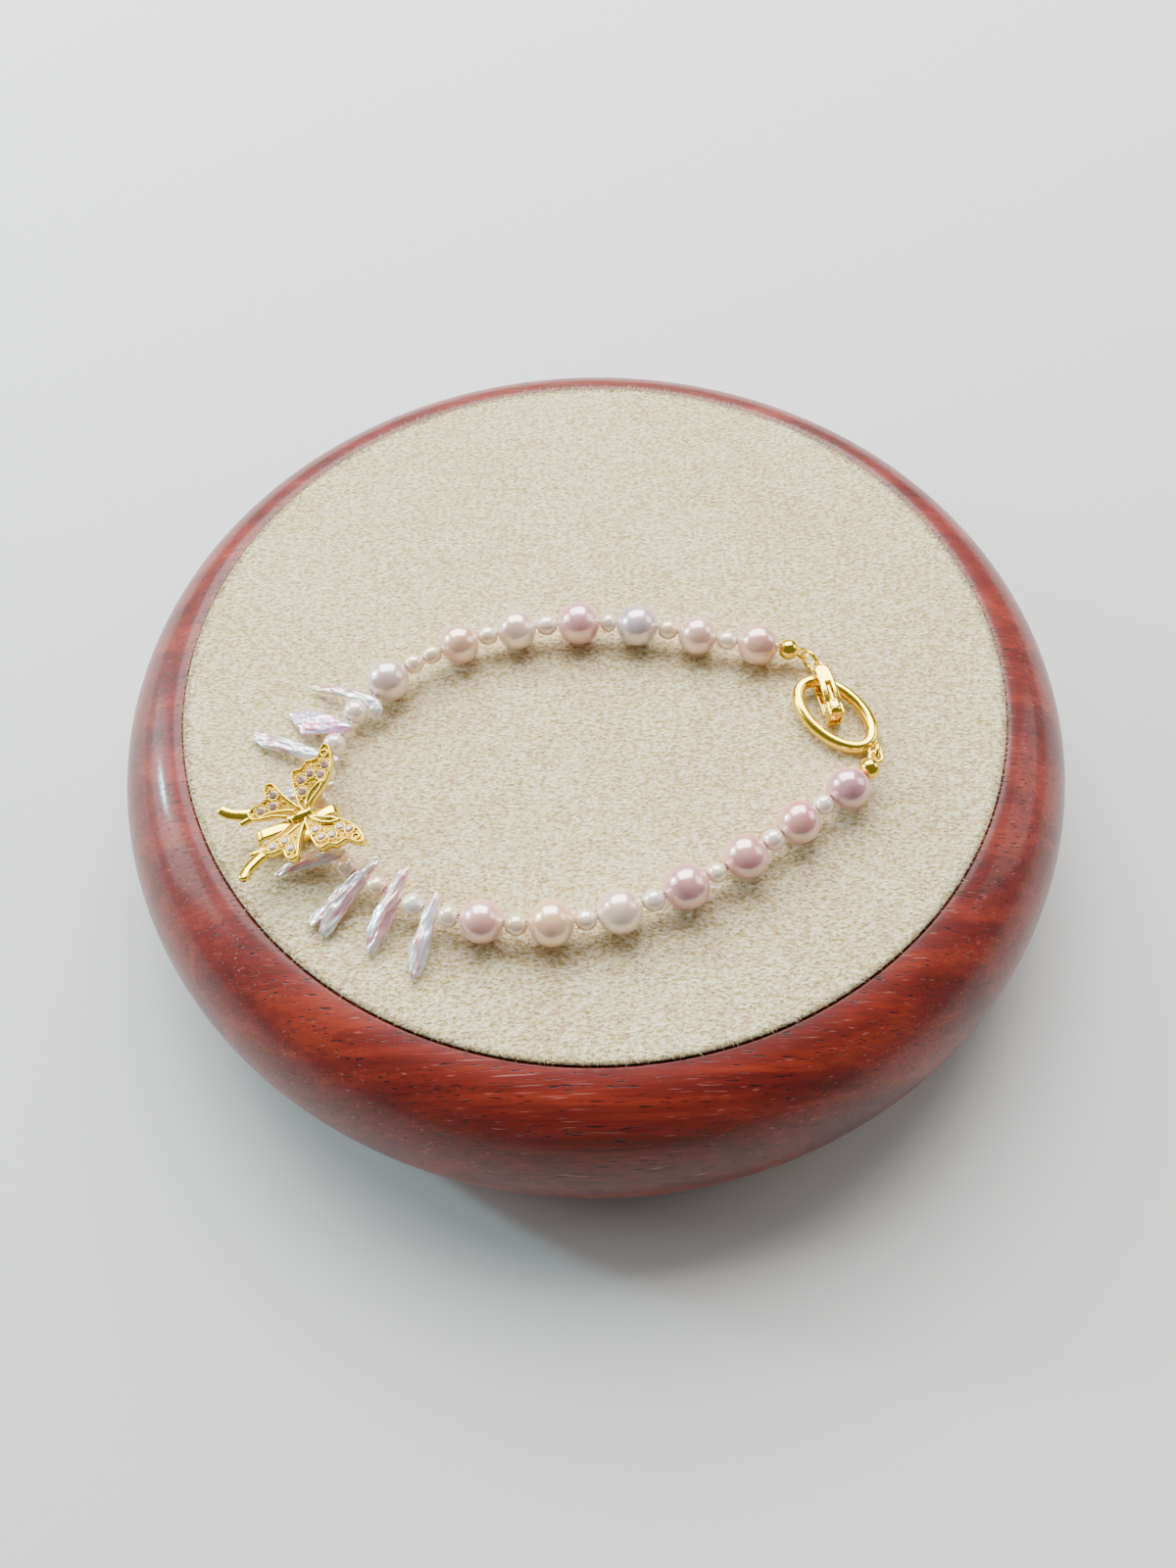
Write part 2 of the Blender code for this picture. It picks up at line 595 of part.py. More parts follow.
def stick_pearl(name, row, drill, look):
    """A flat stick pearl lying out along +X from its drilled hole at the origin."""
    length = STICK_LENGTH * row[1]
    thickness = STICK_THICKNESS * row[3]
    hole = row[4]
    bend = row[8] * length
    mesh = bmesh.new()
    loops = []
    for station in range(STICK_STATIONS + 1):
        share = (1.0 - math.cos(math.pi * station / STICK_STATIONS)) * 0.5
        half = stick_width(row, share)
        along = (share - hole) * length
        drift = bend * ((share - hole) ** 2)
        if station in (0, STICK_STATIONS):
            loops.append([mesh.verts.new((along, drift, 0.0))])
            continue
        high = thickness * 0.5 * (half / (STICK_WIDTH * row[2] * 0.5)) ** 0.5
        loop = []
        for side in range(STICK_SIDES):
            angle = math.tau * side / STICK_SIDES
            loop.append(mesh.verts.new((
                along, drift + half * math.cos(angle), high * math.sin(angle))))
        loops.append(loop)
    for near, far in zip(loops, loops[1:]):
        for side in range(STICK_SIDES):
            other = (side + 1) % STICK_SIDES
            if len(near) == 1:
                mesh.faces.new((near[0], far[other], far[side]))
            elif len(far) == 1:
                mesh.faces.new((near[side], near[other], far[0]))
            else:
                mesh.faces.new((near[side], near[other], far[other], far[side]))
    stick = add_object(name, mesh, look)
    bore = turned([(-STICK_WIDTH, 0.0), (-STICK_WIDTH, DRILL_RADIUS), (STICK_WIDTH, DRILL_RADIUS),
                   (STICK_WIDTH, 0.0)], 8)
    drill_tool = add_object(name + "_drill", bore, look)
    place(drill_tool, Vector((0.0, 0.0, 0.0)), drill)
    use_as_tool(stick, drill_tool, "DIFFERENCE")
    if row[9]:
        tip = (1.0 - hole) * length
        depth = row[9] * length
        spread = STICK_WIDTH * row[2] * FORK_SPREAD
        drift = bend * ((1.0 - hole) ** 2)
        corners = [(tip - depth, drift), (tip + depth, drift - spread),
                   (tip + depth, drift + spread)]
        notch = extruded(corners, -thickness, thickness)[0]
        use_as_tool(stick, add_object(name + "_fork", notch, look), "DIFFERENCE")
    return stick


def piece_length(kind, along_share, stick_row):
    """How much of the strand a piece takes, from face to face."""
    if kind == "pearl":
        return PEARL_SIZE * along_share
    if kind == "seed":
        return SEED_SIZE * along_share
    if kind == "butterfly":
        return BAND_WIDTH + 2.0 * BAND_ROOM
    skew = math.cos(math.radians(stick_row[0]))
    return 2.0 * (stick_width(stick_row, stick_row[4]) / skew + STICK_ROOM)


def build_strand(start, end):
    """Set every piece on the thread between the two end balls, then lay the thread."""
    stick_rows = iter(STICKS)
    pieces = []
    for kind, across, along in STRAND:
        row = next(stick_rows) if kind == "stick" else None
        pieces.append((kind, across, row, piece_length(kind, along, row) + BEAD_GAP))
    line = fit_route(flat(start), flat(end), sum(piece[3] for piece in pieces))
    distances = [0.0]
    for piece in pieces:
        distances.append(distances[-1] + piece[3])
    stops = points_at(line, distances)
    lift_junctions(stops, pieces)
    stops[0] = start
    stops[-1] = end
    nacre = material("nacre", (0.86, 0.74, 0.71), 0.22)
    counts = {"pearl": 0, "seed": 0, "stick": 0}
    for (kind, across, row, taken), here, after in zip(pieces, stops, stops[1:]):
        chord = after - here
        centre = (here + after) * 0.5
        length = taken - BEAD_GAP
        if kind == "butterfly":
            build_butterfly(centre, chord)
            continue
        counts[kind] += 1
        if kind == "stick":
            name = f"stick_pearl_{counts[kind]:02d}"
            lay_stick(name, row, centre, chord, nacre)
            continue
        if kind == "pearl":
            name = f"pearl_{counts[kind]:02d}"
            bead = round_bead(name, PEARL_SIZE * across, length, PEARL_SIDES, 8, nacre)
        else:
            name = f"seed_pearl_{counts[kind]:02d}"
            bead = round_bead(name, SEED_SIZE * across, length, SEED_SIDES, 6, nacre)
        place(bead, centre, chord)
    return stops


def flat(point):
    return Vector((point.x, point.y, 0.0))


def lift_junctions(stops, pieces):
    """Give each junction its height: large pearls lie on the pad, the sticks' run hangs lower."""
    def rest(index):
        if not 0 <= index < len(pieces):
            return None
        kind, across = pieces[index][:2]
        if kind == "pearl":
            return PEARL_SIZE * across * 0.5 + REST_GAP
        if kind in ("stick", "butterfly"):
            return STICK_LIFT
        return None

    for index, stop in enumerate(stops):
        heights = [rest(index - 1), rest(index)]
        known = [height for height in heights if height is not None]
        if not known:
            known = [STICK_LIFT + (PEARL_SIZE * 0.5 + REST_GAP - STICK_LIFT) * 0.5]
        pearl_first = [
            height for height, near in zip(heights, (index - 1, index))
            if height is not None and pieces[near][0] == "pearl"]
        stop.z = PAD_TOP + (pearl_first or known)[0]


def lay_stick(name, row, hole_centre, chord, look):
    """Turn a stick outwards from the strand and tip it until its outer end meets the pad."""
    travel = math.atan2(chord.y, chord.x)
    heading = travel - math.pi * 0.5 + math.radians(row[0])
    length = STICK_LENGTH * row[1] * (1.0 - row[4])
    thickness = STICK_THICKNESS * row[3]
    fall = hole_centre.z - PAD_TOP - REST_GAP - thickness * 0.5
    dip = math.asin(fall / (length * STICK_TOUCH_SHARE))
    direction = plan(heading) * math.cos(dip) - UP * math.sin(dip)
    side = UP.cross(direction).normalized()
    up = direction.cross(side)
    drill = Vector((chord.dot(direction), chord.dot(side), chord.dot(up)))
    stick = stick_pearl(name, row, drill, look)
    return place(stick, hole_centre, direction)


def build_thread(stops, start_direction, end_direction):
    """One strand of thread from inside one ball, through every bead, to inside the other."""
    points = [stops[0] - start_direction * THREAD_DEPTH] + stops
    points.append(stops[-1] - end_direction * THREAD_DEPTH)
    curve = bpy.data.curves.new("thread", "CURVE")
    curve.dimensions = "3D"
    curve.bevel_depth = THREAD_RADIUS
    curve.bevel_resolution = 1
    curve.use_fill_caps = True
    spline = curve.splines.new("POLY")
    spline.points.add(len(points) - 1)
    for spot, point in zip(spline.points, points):
        spot.co = (*point, 1.0)
    return add_object("thread", curve, material("silk_thread", (0.85, 0.82, 0.75), 0.6))


# Butterfly

def wing_spot(along, out, side):
    """A place on a wing in plan; its root is sunk in the body, and side is -1 for the other half."""
    return along * WING_REACH, side * (BODY_RADIUS - WING_SINK + out * WING_REACH)


def plate(outline, side, bottom, top):
    """A closed plate of a wing table's outline."""
    return extruded([wing_spot(along, out, side) for along, out in outline], bottom, top)


def wing(outline, side):
    """A wing with a raised rim round a sunk floor."""
    half = WING_THICKNESS * 0.5
    mesh, roof = plate(outline, side, -half, half)
    bmesh.ops.inset_region(
        mesh, faces=roof, thickness=WING_RIM, depth=-WING_RECESS, use_even_offset=True,
        use_boundary=True)
    return mesh


def strip(centreline, side, width, height):
    """A flat strip with a rounded end along a short centreline."""
    points = [Vector((*wing_spot(along, out, side), 0.0)) for along, out in centreline]
    left = []
    right = []
    for index, point in enumerate(points):
        before = points[max(index - 1, 0)]
        after = points[min(index + 1, len(points) - 1)]
        tangent = (after - before).normalized()
        normal = Vector((-tangent.y, tangent.x, 0.0))
        half = width * 0.5 * (STRIP_END_SHARE if index == len(points) - 1 else 1.0)
        left.append(point + normal * half)
        right.append(point - normal * half)
    corners = [(point.x, point.y) for point in left + right[::-1]]
    return extruded(corners, -height * 0.5, height * 0.5)[0]


def cut_stone(along, out, side):
    """A round cut stone of eight crown facets, eight pavilion facets and a table."""
    profile = [(height * STONE_RADIUS, radius * STONE_RADIUS) for height, radius in STONE_FORM]
    crown = profile[-1][0]
    girdle = WING_THICKNESS * 0.5 - WING_RECESS + crown * 0.5
    mesh = turned(profile, 8, axis="Z")
    bmesh.ops.translate(
        mesh, verts=mesh.verts, vec=(*wing_spot(along, out, side), girdle))
    return mesh


def band_mesh():
    """The long clip band as a flat loop in the XZ plane, round the thread at the origin."""
    bottom = REST_GAP - STICK_LIFT
    top = BODY_LIFT - STICK_LIFT - BODY_RADIUS + BAND_PLATE * SOLDER_SHARE
    middle = Vector((BAND_AHEAD - BAND_LENGTH * 0.5, 0.0, (top + bottom) * 0.5))
    mesh = bmesh.new()

    def outline(inset):
        half_long = BAND_LENGTH * 0.5 - inset
        half_high = (top - bottom) * 0.5 - inset
        corner = BAND_CORNER - inset
        points = []
        for quarter, (sx, sz) in enumerate(((1, 1), (-1, 1), (-1, -1), (1, -1))):
            for step in range(4):
                angle = math.pi * 0.5 * (quarter + step / 3.0)
                points.append(Vector((
                    sx * (half_long - corner) + corner * math.cos(angle), 0.0,
                    sz * (half_high - corner) + corner * math.sin(angle))) + middle)
        return points

    rings = []
    for inset in (0.0, BAND_PLATE):
        for y in (-BAND_WIDTH * 0.5, BAND_WIDTH * 0.5):
            rings.append([mesh.verts.new((p.x, y, p.z)) for p in outline(inset)])
    outer_near, outer_far, inner_near, inner_far = rings
    count = len(outer_near)
    for near, far in ((outer_near, outer_far), (outer_far, inner_far), (inner_far, inner_near),
                      (inner_near, outer_near)):
        for index in range(count):
            other = (index + 1) % count
            mesh.faces.new((near[index], near[other], far[other], far[index]))
    return mesh


def build_butterfly(origin, chord):
    """Wings, body and stones soldered on a clip band that the thread passes through."""
    look = gold()
    butterfly = add_object("butterfly", band_mesh(), look)
    pitch = Matrix.Rotation(-BODY_PITCH, 3, "Y")
    shift = Vector((-BODY_SETBACK, 0.0, BODY_LIFT - STICK_LIFT))
    parts = []
    for side, label in ((1.0, "left"), (-1.0, "right")):
        rise = Matrix.Rotation(side * WING_RISE, 3, "X")
        shapes = [("forewing", wing(FOREWING, side)), ("hindwing", wing(HINDWING, side)),
                  ("tail", strip(TAIL, side, TAIL_WIDTH, TAIL_THICKNESS)),
                  ("prong", strip(PRONG, side, PRONG_WIDTH, PRONG_THICKNESS)),
                  ("leaf", plate(LEAF, side, 0.0, WING_THICKNESS * 0.5 + FACE_STEP)[0])]
        for index, (along, out) in enumerate(STONES):
            shapes.append((f"stone_{index + 1}", cut_stone(along, out, side)))
        for name, mesh in shapes:
            bmesh.ops.rotate(
                mesh, verts=mesh.verts, cent=(0.0, 0.0, 0.0), matrix=pitch @ rise)
            parts.append((name + "_" + label, mesh))
    body = turned([
        ((share - 0.5) * BODY_LENGTH, radius * BODY_RADIUS) for share, radius in BODY_FORM], 10)
    bmesh.ops.rotate(body, verts=body.verts, cent=(0.0, 0.0, 0.0), matrix=pitch)
    parts.append(("body", body))
    soldered = bpy.data.collections.new("butterfly_soldered")
    bpy.context.scene.collection.children.link(soldered)
    for name, mesh in parts:
        bmesh.ops.translate(mesh, vec=shift, verts=mesh.verts)
        tool = add_object("butterfly_" + name, mesh, look)
        bpy.context.scene.collection.objects.unlink(tool)
        soldered.objects.link(tool)
        tool.parent = butterfly
        tool.hide_render = True
        tool.display_type = "WIRE"
    step = butterfly.modifiers.new("solder", "BOOLEAN")
    step.operation = "UNION"
    step.solver = "EXACT"
    step.operand_type = "COLLECTION"
    step.collection = soldered
    heading = math.atan2(chord.y, chord.x) + math.pi * 0.5 + BUTTERFLY_SKEW
    return place(butterfly, origin, plan(heading))


def build_all():
    for old in list(bpy.data.objects):
        bpy.data.objects.remove(old)
    build_board()
    build_pad()
    lug = build_oval()
    clip_eye = build_clip()
    eye_a = build_jump_ring("jump_ring_a", clip_eye, LINK_A_HEADING)
    eye_b = build_jump_ring("jump_ring_b", lug, LINK_B_HEADING)
    start, start_direction = build_end_ball("end_ball_a", eye_a, BALL_A_HEADING)
    end, end_direction = build_end_ball("end_ball_b", eye_b, BALL_B_HEADING)
    stops = build_strand(start, end)
    build_thread(stops, start_direction, end_direction)


build_all()
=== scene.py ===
import math
import random

import bmesh
import bpy
from mathutils import Matrix, Vector, noise


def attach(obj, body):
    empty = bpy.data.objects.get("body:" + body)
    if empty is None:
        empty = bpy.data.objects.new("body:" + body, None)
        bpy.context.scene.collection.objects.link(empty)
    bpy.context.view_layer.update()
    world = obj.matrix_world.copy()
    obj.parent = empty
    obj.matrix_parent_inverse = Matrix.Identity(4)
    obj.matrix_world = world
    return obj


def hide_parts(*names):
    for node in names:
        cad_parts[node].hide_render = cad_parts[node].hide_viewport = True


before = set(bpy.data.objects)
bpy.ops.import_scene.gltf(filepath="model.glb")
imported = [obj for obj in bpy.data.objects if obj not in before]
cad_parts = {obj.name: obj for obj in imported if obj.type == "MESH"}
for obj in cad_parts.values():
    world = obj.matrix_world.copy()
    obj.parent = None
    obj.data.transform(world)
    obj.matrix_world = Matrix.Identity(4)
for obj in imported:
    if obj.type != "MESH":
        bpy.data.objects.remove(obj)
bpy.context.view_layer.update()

# Camera, floor and studio light, none of them part of the object. The camera looks down from
# the near side. A window-like soft light behind the board bends round its left and right, and
# one small lamp low on the left gives each pearl its bright point.
# Sizes in this file are in mm, but the floor's and the lights' are in m.
MM = 0.001
PAD_TOP = 26.5
FRAME_HEIGHT = 32.0
LENS = 24.0
WORLD_STRENGTH = 0.22
VIEW_ELEVATION = math.radians(59.06779819)
VIEW_ROLL = math.radians(-1.45326)
CAMERA_SPOT = Vector((-1.04004, -90.72837, 148.50457))
FLOOR_SIZE = 3.0
SOFT_LIGHTS = [
    # name, azimuth, elevation, distance in m, width in m, height in m, watts, colour
    ("window_back", 96.0, 50.0, 0.70, 0.85, 0.58, 19.5, "#FAFCFF"),
    ("window_left", 165.0, 24.0, 0.62, 0.34, 0.34, 2.2, "#F8FBFF"),
    ("window_right", 14.0, 27.0, 0.62, 0.30, 0.34, 1.1, "#FFFEFC"),
    ("lamp_left", 162.9, 21.2, 0.50, 0.035, 0.035, 1.3, "#B8F4FF"),
]


def linear(colour):
    """An sRGB hex colour as the linear RGBA that a shader takes."""
    parts = [int(colour[start:start + 2], 16) / 255.0 for start in (1, 3, 5)]
    curved = [part / 12.92 if part <= 0.04045 else ((part + 0.055) / 1.055) ** 2.4 for part in parts]
    return (*curved, 1.0)


def add_node(tree, kind, sockets=None, stops=None, **settings):
    """One shader node with its settings, its sockets' values or links, and its ramp's stops."""
    made = tree.nodes.new("ShaderNode" + kind)
    for name, value in settings.items():
        setattr(made, name, value)
    for name, value in (sockets or {}).items():
        if isinstance(value, bpy.types.NodeSocket):
            tree.links.new(value, made.inputs[name])
        else:
            made.inputs[name].default_value = value
    if stops:
        elements = made.color_ramp.elements
        while len(elements) < len(stops):
            elements.new(0.5)
        for element, (position, colour) in zip(elements, stops):
            element.position = position
            element.color = linear(colour)
    return made


def start_material(name):
    """An empty node material and its tree."""
    made = bpy.data.materials.new(name)
    made.use_nodes = True
    made.node_tree.nodes.clear()
    return made, made.node_tree


def surface(tree, sockets):
    """The shader that ends a material."""
    shader = add_node(tree, "BsdfPrincipled", sockets)
    add_node(tree, "OutputMaterial", {"Surface": shader.outputs[0]})


def look_at(spot, target, roll=0.0):
    """A place at spot whose -Z points at target."""
    forward = (target - spot).normalized()
    across = forward.cross(Vector((0.0, 0.0, 1.0))).normalized()
    upward = across.cross(forward)
    right = across * math.cos(roll) + upward * math.sin(roll)
    matrix = Matrix((right, right.cross(forward), -forward)).transposed().to_4x4()
    matrix.translation = spot
    return matrix


camera = bpy.data.objects.new("camera", bpy.data.cameras.new("camera"))
camera.data.sensor_fit = "VERTICAL"
camera.data.sensor_height = FRAME_HEIGHT
camera.data.lens = LENS
camera.data.clip_start = 0.001
view_line = Vector((0.0, math.cos(VIEW_ELEVATION), -math.sin(VIEW_ELEVATION)))
camera.matrix_world = look_at(CAMERA_SPOT * MM, CAMERA_SPOT * MM + view_line, VIEW_ROLL)
bpy.context.scene.collection.objects.link(camera)
bpy.context.scene.camera = camera

for label, azimuth, elevation, distance, width, height, watts, tint in SOFT_LIGHTS:
    lamp = bpy.data.lights.new(label, "AREA")
    lamp.shape = "RECTANGLE"
    lamp.size = width
    lamp.size_y = height
    lamp.energy = watts
    lamp.color = linear(tint)[:3]
    stand = bpy.data.objects.new(label, lamp)
    flat = math.cos(math.radians(elevation))
    toward = Vector((
        flat * math.cos(math.radians(azimuth)), flat * math.sin(math.radians(azimuth)),
        math.sin(math.radians(elevation))))
    middle = Vector((0.0, 0.0, PAD_TOP * MM))
    stand.matrix_world = look_at(middle + toward * distance, middle)
    bpy.context.scene.collection.objects.link(stand)

world = bpy.data.worlds.new("studio")
world.use_nodes = True
world.node_tree.nodes.clear()
glow = add_node(world.node_tree, "Background", {
    "Color": linear("#EEF0F2"), "Strength": WORLD_STRENGTH})
add_node(world.node_tree, "OutputWorld", {"Surface": glow.outputs[0]})
bpy.context.scene.world = world

floor_mesh = bmesh.new()
bmesh.ops.create_grid(floor_mesh, x_segments=1, y_segments=1, size=FLOOR_SIZE * 0.5)
floor_data = bpy.data.meshes.new("floor")
floor_mesh.to_mesh(floor_data)
floor_mesh.free()
# Uncoated paper: quite matt, so the floor shows only soft shadow.
paper, tree = start_material("matt_floor_paper")
surface(tree, {"Base Color": linear("#CFCDC9"), "Roughness": 0.85})
floor_data.materials.append(paper)
floor = bpy.data.objects.new("floor", floor_data)
bpy.context.scene.collection.objects.link(floor)

# Display board: one thick disc of rosewood turned on a lathe, with a full rounded rim and a
# shallow recess for the pad. It is stained red-brown and finished with gloss lacquer, so the
# grain and pores show under a smooth clear coat.
RECESS_RADIUS = 52.3
RIM_WIDTH = 10.6
RIM_FULLNESS = 1.9
BOARD_HEIGHT = 26.0
RECESS_FLOOR = 24.0
RECESS_MIDDLE = 25.0
LIP_ROUND = 0.35
LIP_STEPS = 5
RIM_STEPS = 45
RIM_FIRST_STEP = 3
BOARD_TURNS = 256


def piece_from(mesh, name, look, body, slot_name, *nodes, smooth=True):
    """Makes a bmesh, in metres and in place, a piece of the scene."""
    data = bpy.data.meshes.new(name)
    for face in mesh.faces:
        face.smooth = smooth
    mesh.to_mesh(data)
    mesh.free()
    data.materials.append(look)
    piece = bpy.data.objects.new(name, data)
    bpy.context.scene.collection.objects.link(piece)
    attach(piece, body)
    if nodes:
        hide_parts(*nodes)
    return piece


def lathe(profile, turns, axis=(0.0, 0.0, 1.0), closed=False):
    """A turned solid of (radius, height) points about the axis Z, or about X with axis X."""
    mesh = bmesh.new()
    upright = Vector(axis)
    side = Vector((1.0, 0.0, 0.0)) if upright.z else Vector((0.0, 0.0, 1.0))
    spots = [mesh.verts.new(side * radius + upright * height) for radius, height in profile]
    edges = [mesh.edges.new(pair) for pair in zip(spots, spots[1:])]
    if closed:
        edges.append(mesh.edges.new((spots[-1], spots[0])))
    bmesh.ops.spin(
        mesh, geom=spots + edges, cent=(0.0, 0.0, 0.0), axis=upright, angle=math.tau,
        steps=turns, use_merge=True)
    bmesh.ops.remove_doubles(mesh, verts=mesh.verts, dist=1e-5)
    bmesh.ops.recalc_face_normals(mesh, faces=mesh.faces)
    return mesh


rim = [(RECESS_RADIUS, height) for height in (RECESS_FLOOR, RECESS_MIDDLE, BOARD_HEIGHT - LIP_ROUND)]
for step in range(1, LIP_STEPS + 1):
    angle = math.pi * 0.5 * step / LIP_STEPS
    rim.append((
        RECESS_RADIUS + LIP_ROUND * (1.0 - math.cos(angle)),
        BOARD_HEIGHT - LIP_ROUND * (1.0 - math.sin(angle))))
for step in range(RIM_FIRST_STEP, RIM_STEPS):
    angle = math.pi * (0.5 - step / RIM_STEPS)
    out = abs(math.cos(angle)) ** (2.0 / RIM_FULLNESS)
    rise = math.copysign(abs(math.sin(angle)) ** (2.0 / RIM_FULLNESS), angle)
    rim.append((RECESS_RADIUS + RIM_WIDTH * out, BOARD_HEIGHT * 0.5 * (1.0 + rise)))
rim.append((RECESS_RADIUS, 0.0))
board_mesh = lathe([(0.0, RECESS_FLOOR)] + rim + [(0.0, 0.0)], BOARD_TURNS)
bmesh.ops.scale(board_mesh, vec=(MM, MM, MM), verts=board_mesh.verts)

# Rosewood stained red-brown and sprayed with gloss lacquer: the eye sees deep red with darker
# bands and pores, and over it a clear, slightly uneven shine.
rosewood, tree = start_material("lacquered_rosewood")
place = add_node(tree, "TexCoord").outputs["Object"]
# Growth bands run along X, about 5 mm apart, with fibres about 0.5 mm wide in them.
bands = add_node(tree, "Mapping", {"Vector": place, "Scale": (14.0, 190.0, 150.0)})
band_noise = add_node(tree, "TexNoise", {
    "Vector": bands.outputs[0], "Scale": 1.0, "Detail": 5.0, "Roughness": 0.62, "Distortion": 0.6})
fibre_map = add_node(tree, "Mapping", {"Vector": place, "Scale": (60.0, 1900.0, 1500.0)})
fibres = add_node(tree, "TexNoise", {
    "Vector": fibre_map.outputs[0], "Scale": 1.0, "Detail": 3.0, "Roughness": 0.6})
tone = add_node(tree, "Math", {0: band_noise.outputs[0], 1: 0.75}, operation="MULTIPLY")
tone = add_node(tree, "Math", {
    0: fibres.outputs[0], 1: 0.25, 2: tone.outputs[0]}, operation="MULTIPLY_ADD")
stain = add_node(tree, "ValToRGB", {0: tone.outputs[0]}, stops=[
    (0.30, "#380A05"), (0.42, "#5A140A"), (0.52, "#701D10"), (0.62, "#8A2C18"), (0.75, "#60180D")])
# Open pores are dark dashes about 2 mm long and 0.15 mm wide.
pore_map = add_node(tree, "Mapping", {"Vector": place, "Scale": (420.0, 4200.0, 3600.0)})
pore_noise = add_node(tree, "TexNoise", {
    "Vector": pore_map.outputs[0], "Scale": 1.0, "Detail": 1.0})
pores = add_node(tree, "MapRange", {0: pore_noise.outputs[0], 1: 0.63, 2: 0.70})
pored = add_node(tree, "Mix", {
    0: pores.outputs[0], 6: stain.outputs[0], 7: linear("#2A0907")}, data_type="RGBA")
# Painted highlights: pale dashes about 4 mm long and 0.2 mm wide along X, standing for the light that the
# open pores catch under the lacquer.
glint_map = add_node(tree, "Mapping", {"Vector": place, "Scale": (130.0, 3900.0, 3300.0)})
glint_noise = add_node(tree, "TexNoise", {
    "Vector": glint_map.outputs[0], "Scale": 1.0, "Detail": 1.5, "W": 4.0}, noise_dimensions="4D")
painted_glints = add_node(tree, "MapRange", {0: glint_noise.outputs[0], 1: 0.64, 2: 0.76, 4: 0.4})
# The pale dashes are painted highlights, mixed over the pored stain.
stain_with_glints = add_node(tree, "Mix", {
    0: painted_glints.outputs[0], 6: pored.outputs[2], 7: linear("#C98A7C")}, data_type="RGBA")
dents = add_node(tree, "Bump", {
    "Height": pores.outputs[0], "Strength": 0.12, "Distance": 0.0001}, invert=True)
ripple = add_node(tree, "TexNoise", {"Vector": place, "Scale": 160.0, "Detail": 2.0})
lacquer = add_node(tree, "Bump", {
    "Height": ripple.outputs[0], "Strength": 0.08, "Distance": 0.0004})
lacquer = add_node(tree, "Bump", {
    "Height": pores.outputs[0], "Strength": 0.35, "Distance": 0.00012,
    "Normal": lacquer.outputs[0]}, invert=True)
surface(tree, {
    "Base Color": stain_with_glints.outputs[2], "Roughness": 0.5, "Specular IOR Level": 0.25, "IOR": 1.5,
    "Normal": dents.outputs[0],
    "Coat Weight": 0.5, "Coat Roughness": 0.15, "Coat IOR": 1.34, "Coat Normal": lacquer.outputs[0]})
piece_from(board_mesh, "rosewood_board", rosewood, "bracelet_on_stand", "rosewood", "stand_base")

# Pad: a disc of card covered in cream suede and pressed into the recess. The suede is glued
# down flat, and its edge swells a little over the groove.
PAD_RADIUS = 52.0
PAD_BOTTOM = 24.3
PAD_FOOT = 0.3
PAD_WALL_TOP = 25.6
PAD_EDGE_ROUND = 0.4
PAD_EDGE_STEPS = 6
PAD_SWELL = 0.22
PAD_RINGS = 116
PAD_TURNS = 420
TUFT_SIZE = 0.9
TUFT_HEIGHT = 0.05
MOTTLE_SIZE = 9.0
MOTTLE_HEIGHT = 0.04
MOTTLE_SHIFT = Vector((7.0, 3.0, 1.0))

pad_profile = [
    (0.0, PAD_BOTTOM), (PAD_RADIUS - PAD_FOOT, PAD_BOTTOM), (PAD_RADIUS, PAD_BOTTOM + PAD_FOOT),
    (PAD_RADIUS, PAD_WALL_TOP)]
for step in range(PAD_EDGE_STEPS + 1):
    angle = math.pi * 0.5 * step / PAD_EDGE_STEPS
    pad_profile.append((
        PAD_RADIUS + PAD_SWELL - PAD_EDGE_ROUND * (1.0 - math.cos(angle)),
        PAD_TOP - PAD_EDGE_ROUND * (1.0 - math.sin(angle))))
flat_reach = PAD_RADIUS - PAD_EDGE_ROUND
pad_profile += [(flat_reach * (1.0 - ring / PAD_RINGS), PAD_TOP) for ring in range(1, PAD_RINGS + 1)]
pad_mesh = lathe(pad_profile, PAD_TURNS)
for vert in pad_mesh.verts:
    if vert.co.z > PAD_TOP - PAD_EDGE_ROUND:
        tuft = noise.noise(vert.co / TUFT_SIZE)
        swell = noise.noise(vert.co / MOTTLE_SIZE + MOTTLE_SHIFT)
        vert.co.z += TUFT_HEIGHT * tuft + MOTTLE_HEIGHT * swell
bmesh.ops.scale(pad_mesh, vec=(MM, MM, MM), verts=pad_mesh.verts)

# Buffed suede: its nap lies in soft tufts, which give the eye a quite matt, faintly mottled
# cream. Its colour is painted lighter on the tufts' tops and darker between them, as painted light
# and shade of the nap. The tufts are 0.4 to 0.6 mm, drawn coarser than real ones so that they show.
suede, tree = start_material("napped_suede")
place = add_node(tree, "TexCoord").outputs["Object"]
mottle = add_node(tree, "TexNoise", {
    "Vector": place, "Scale": 60.0, "Detail": 2.0, "Roughness": 0.5})
fleck_map = add_node(tree, "Mapping", {
    "Vector": place, "Scale": (1700.0, 2800.0, 2200.0)})
tufts = add_node(tree, "TexNoise", {
    "Vector": fleck_map.outputs[0], "Scale": 1.0, "Detail": 3.0, "Roughness": 0.62})
shade = add_node(tree, "Math", {0: mottle.outputs[0], 1: 0.08}, operation="MULTIPLY")
shade = add_node(tree, "Math", {
    0: tufts.outputs[0], 1: 0.92, 2: shade.outputs[0]}, operation="MULTIPLY_ADD")
# Painted light and shade: the colour follows the tufts' height, light on their tops and dark between them.
painted_nap_light_and_shade = add_node(tree, "ValToRGB", {0: shade.outputs[0]}, stops=[
    (0.37, "#BEA46E"), (0.47, "#E2CE98"), (0.53, "#F0DFAF"), (0.62, "#FFF6D6")])
fine = add_node(tree, "TexNoise", {
    "Vector": place, "Scale": 3600.0, "Detail": 2.0, "Roughness": 0.7})
nap = add_node(tree, "Bump", {
    "Height": tufts.outputs[0], "Strength": 1.0, "Distance": 0.0006})
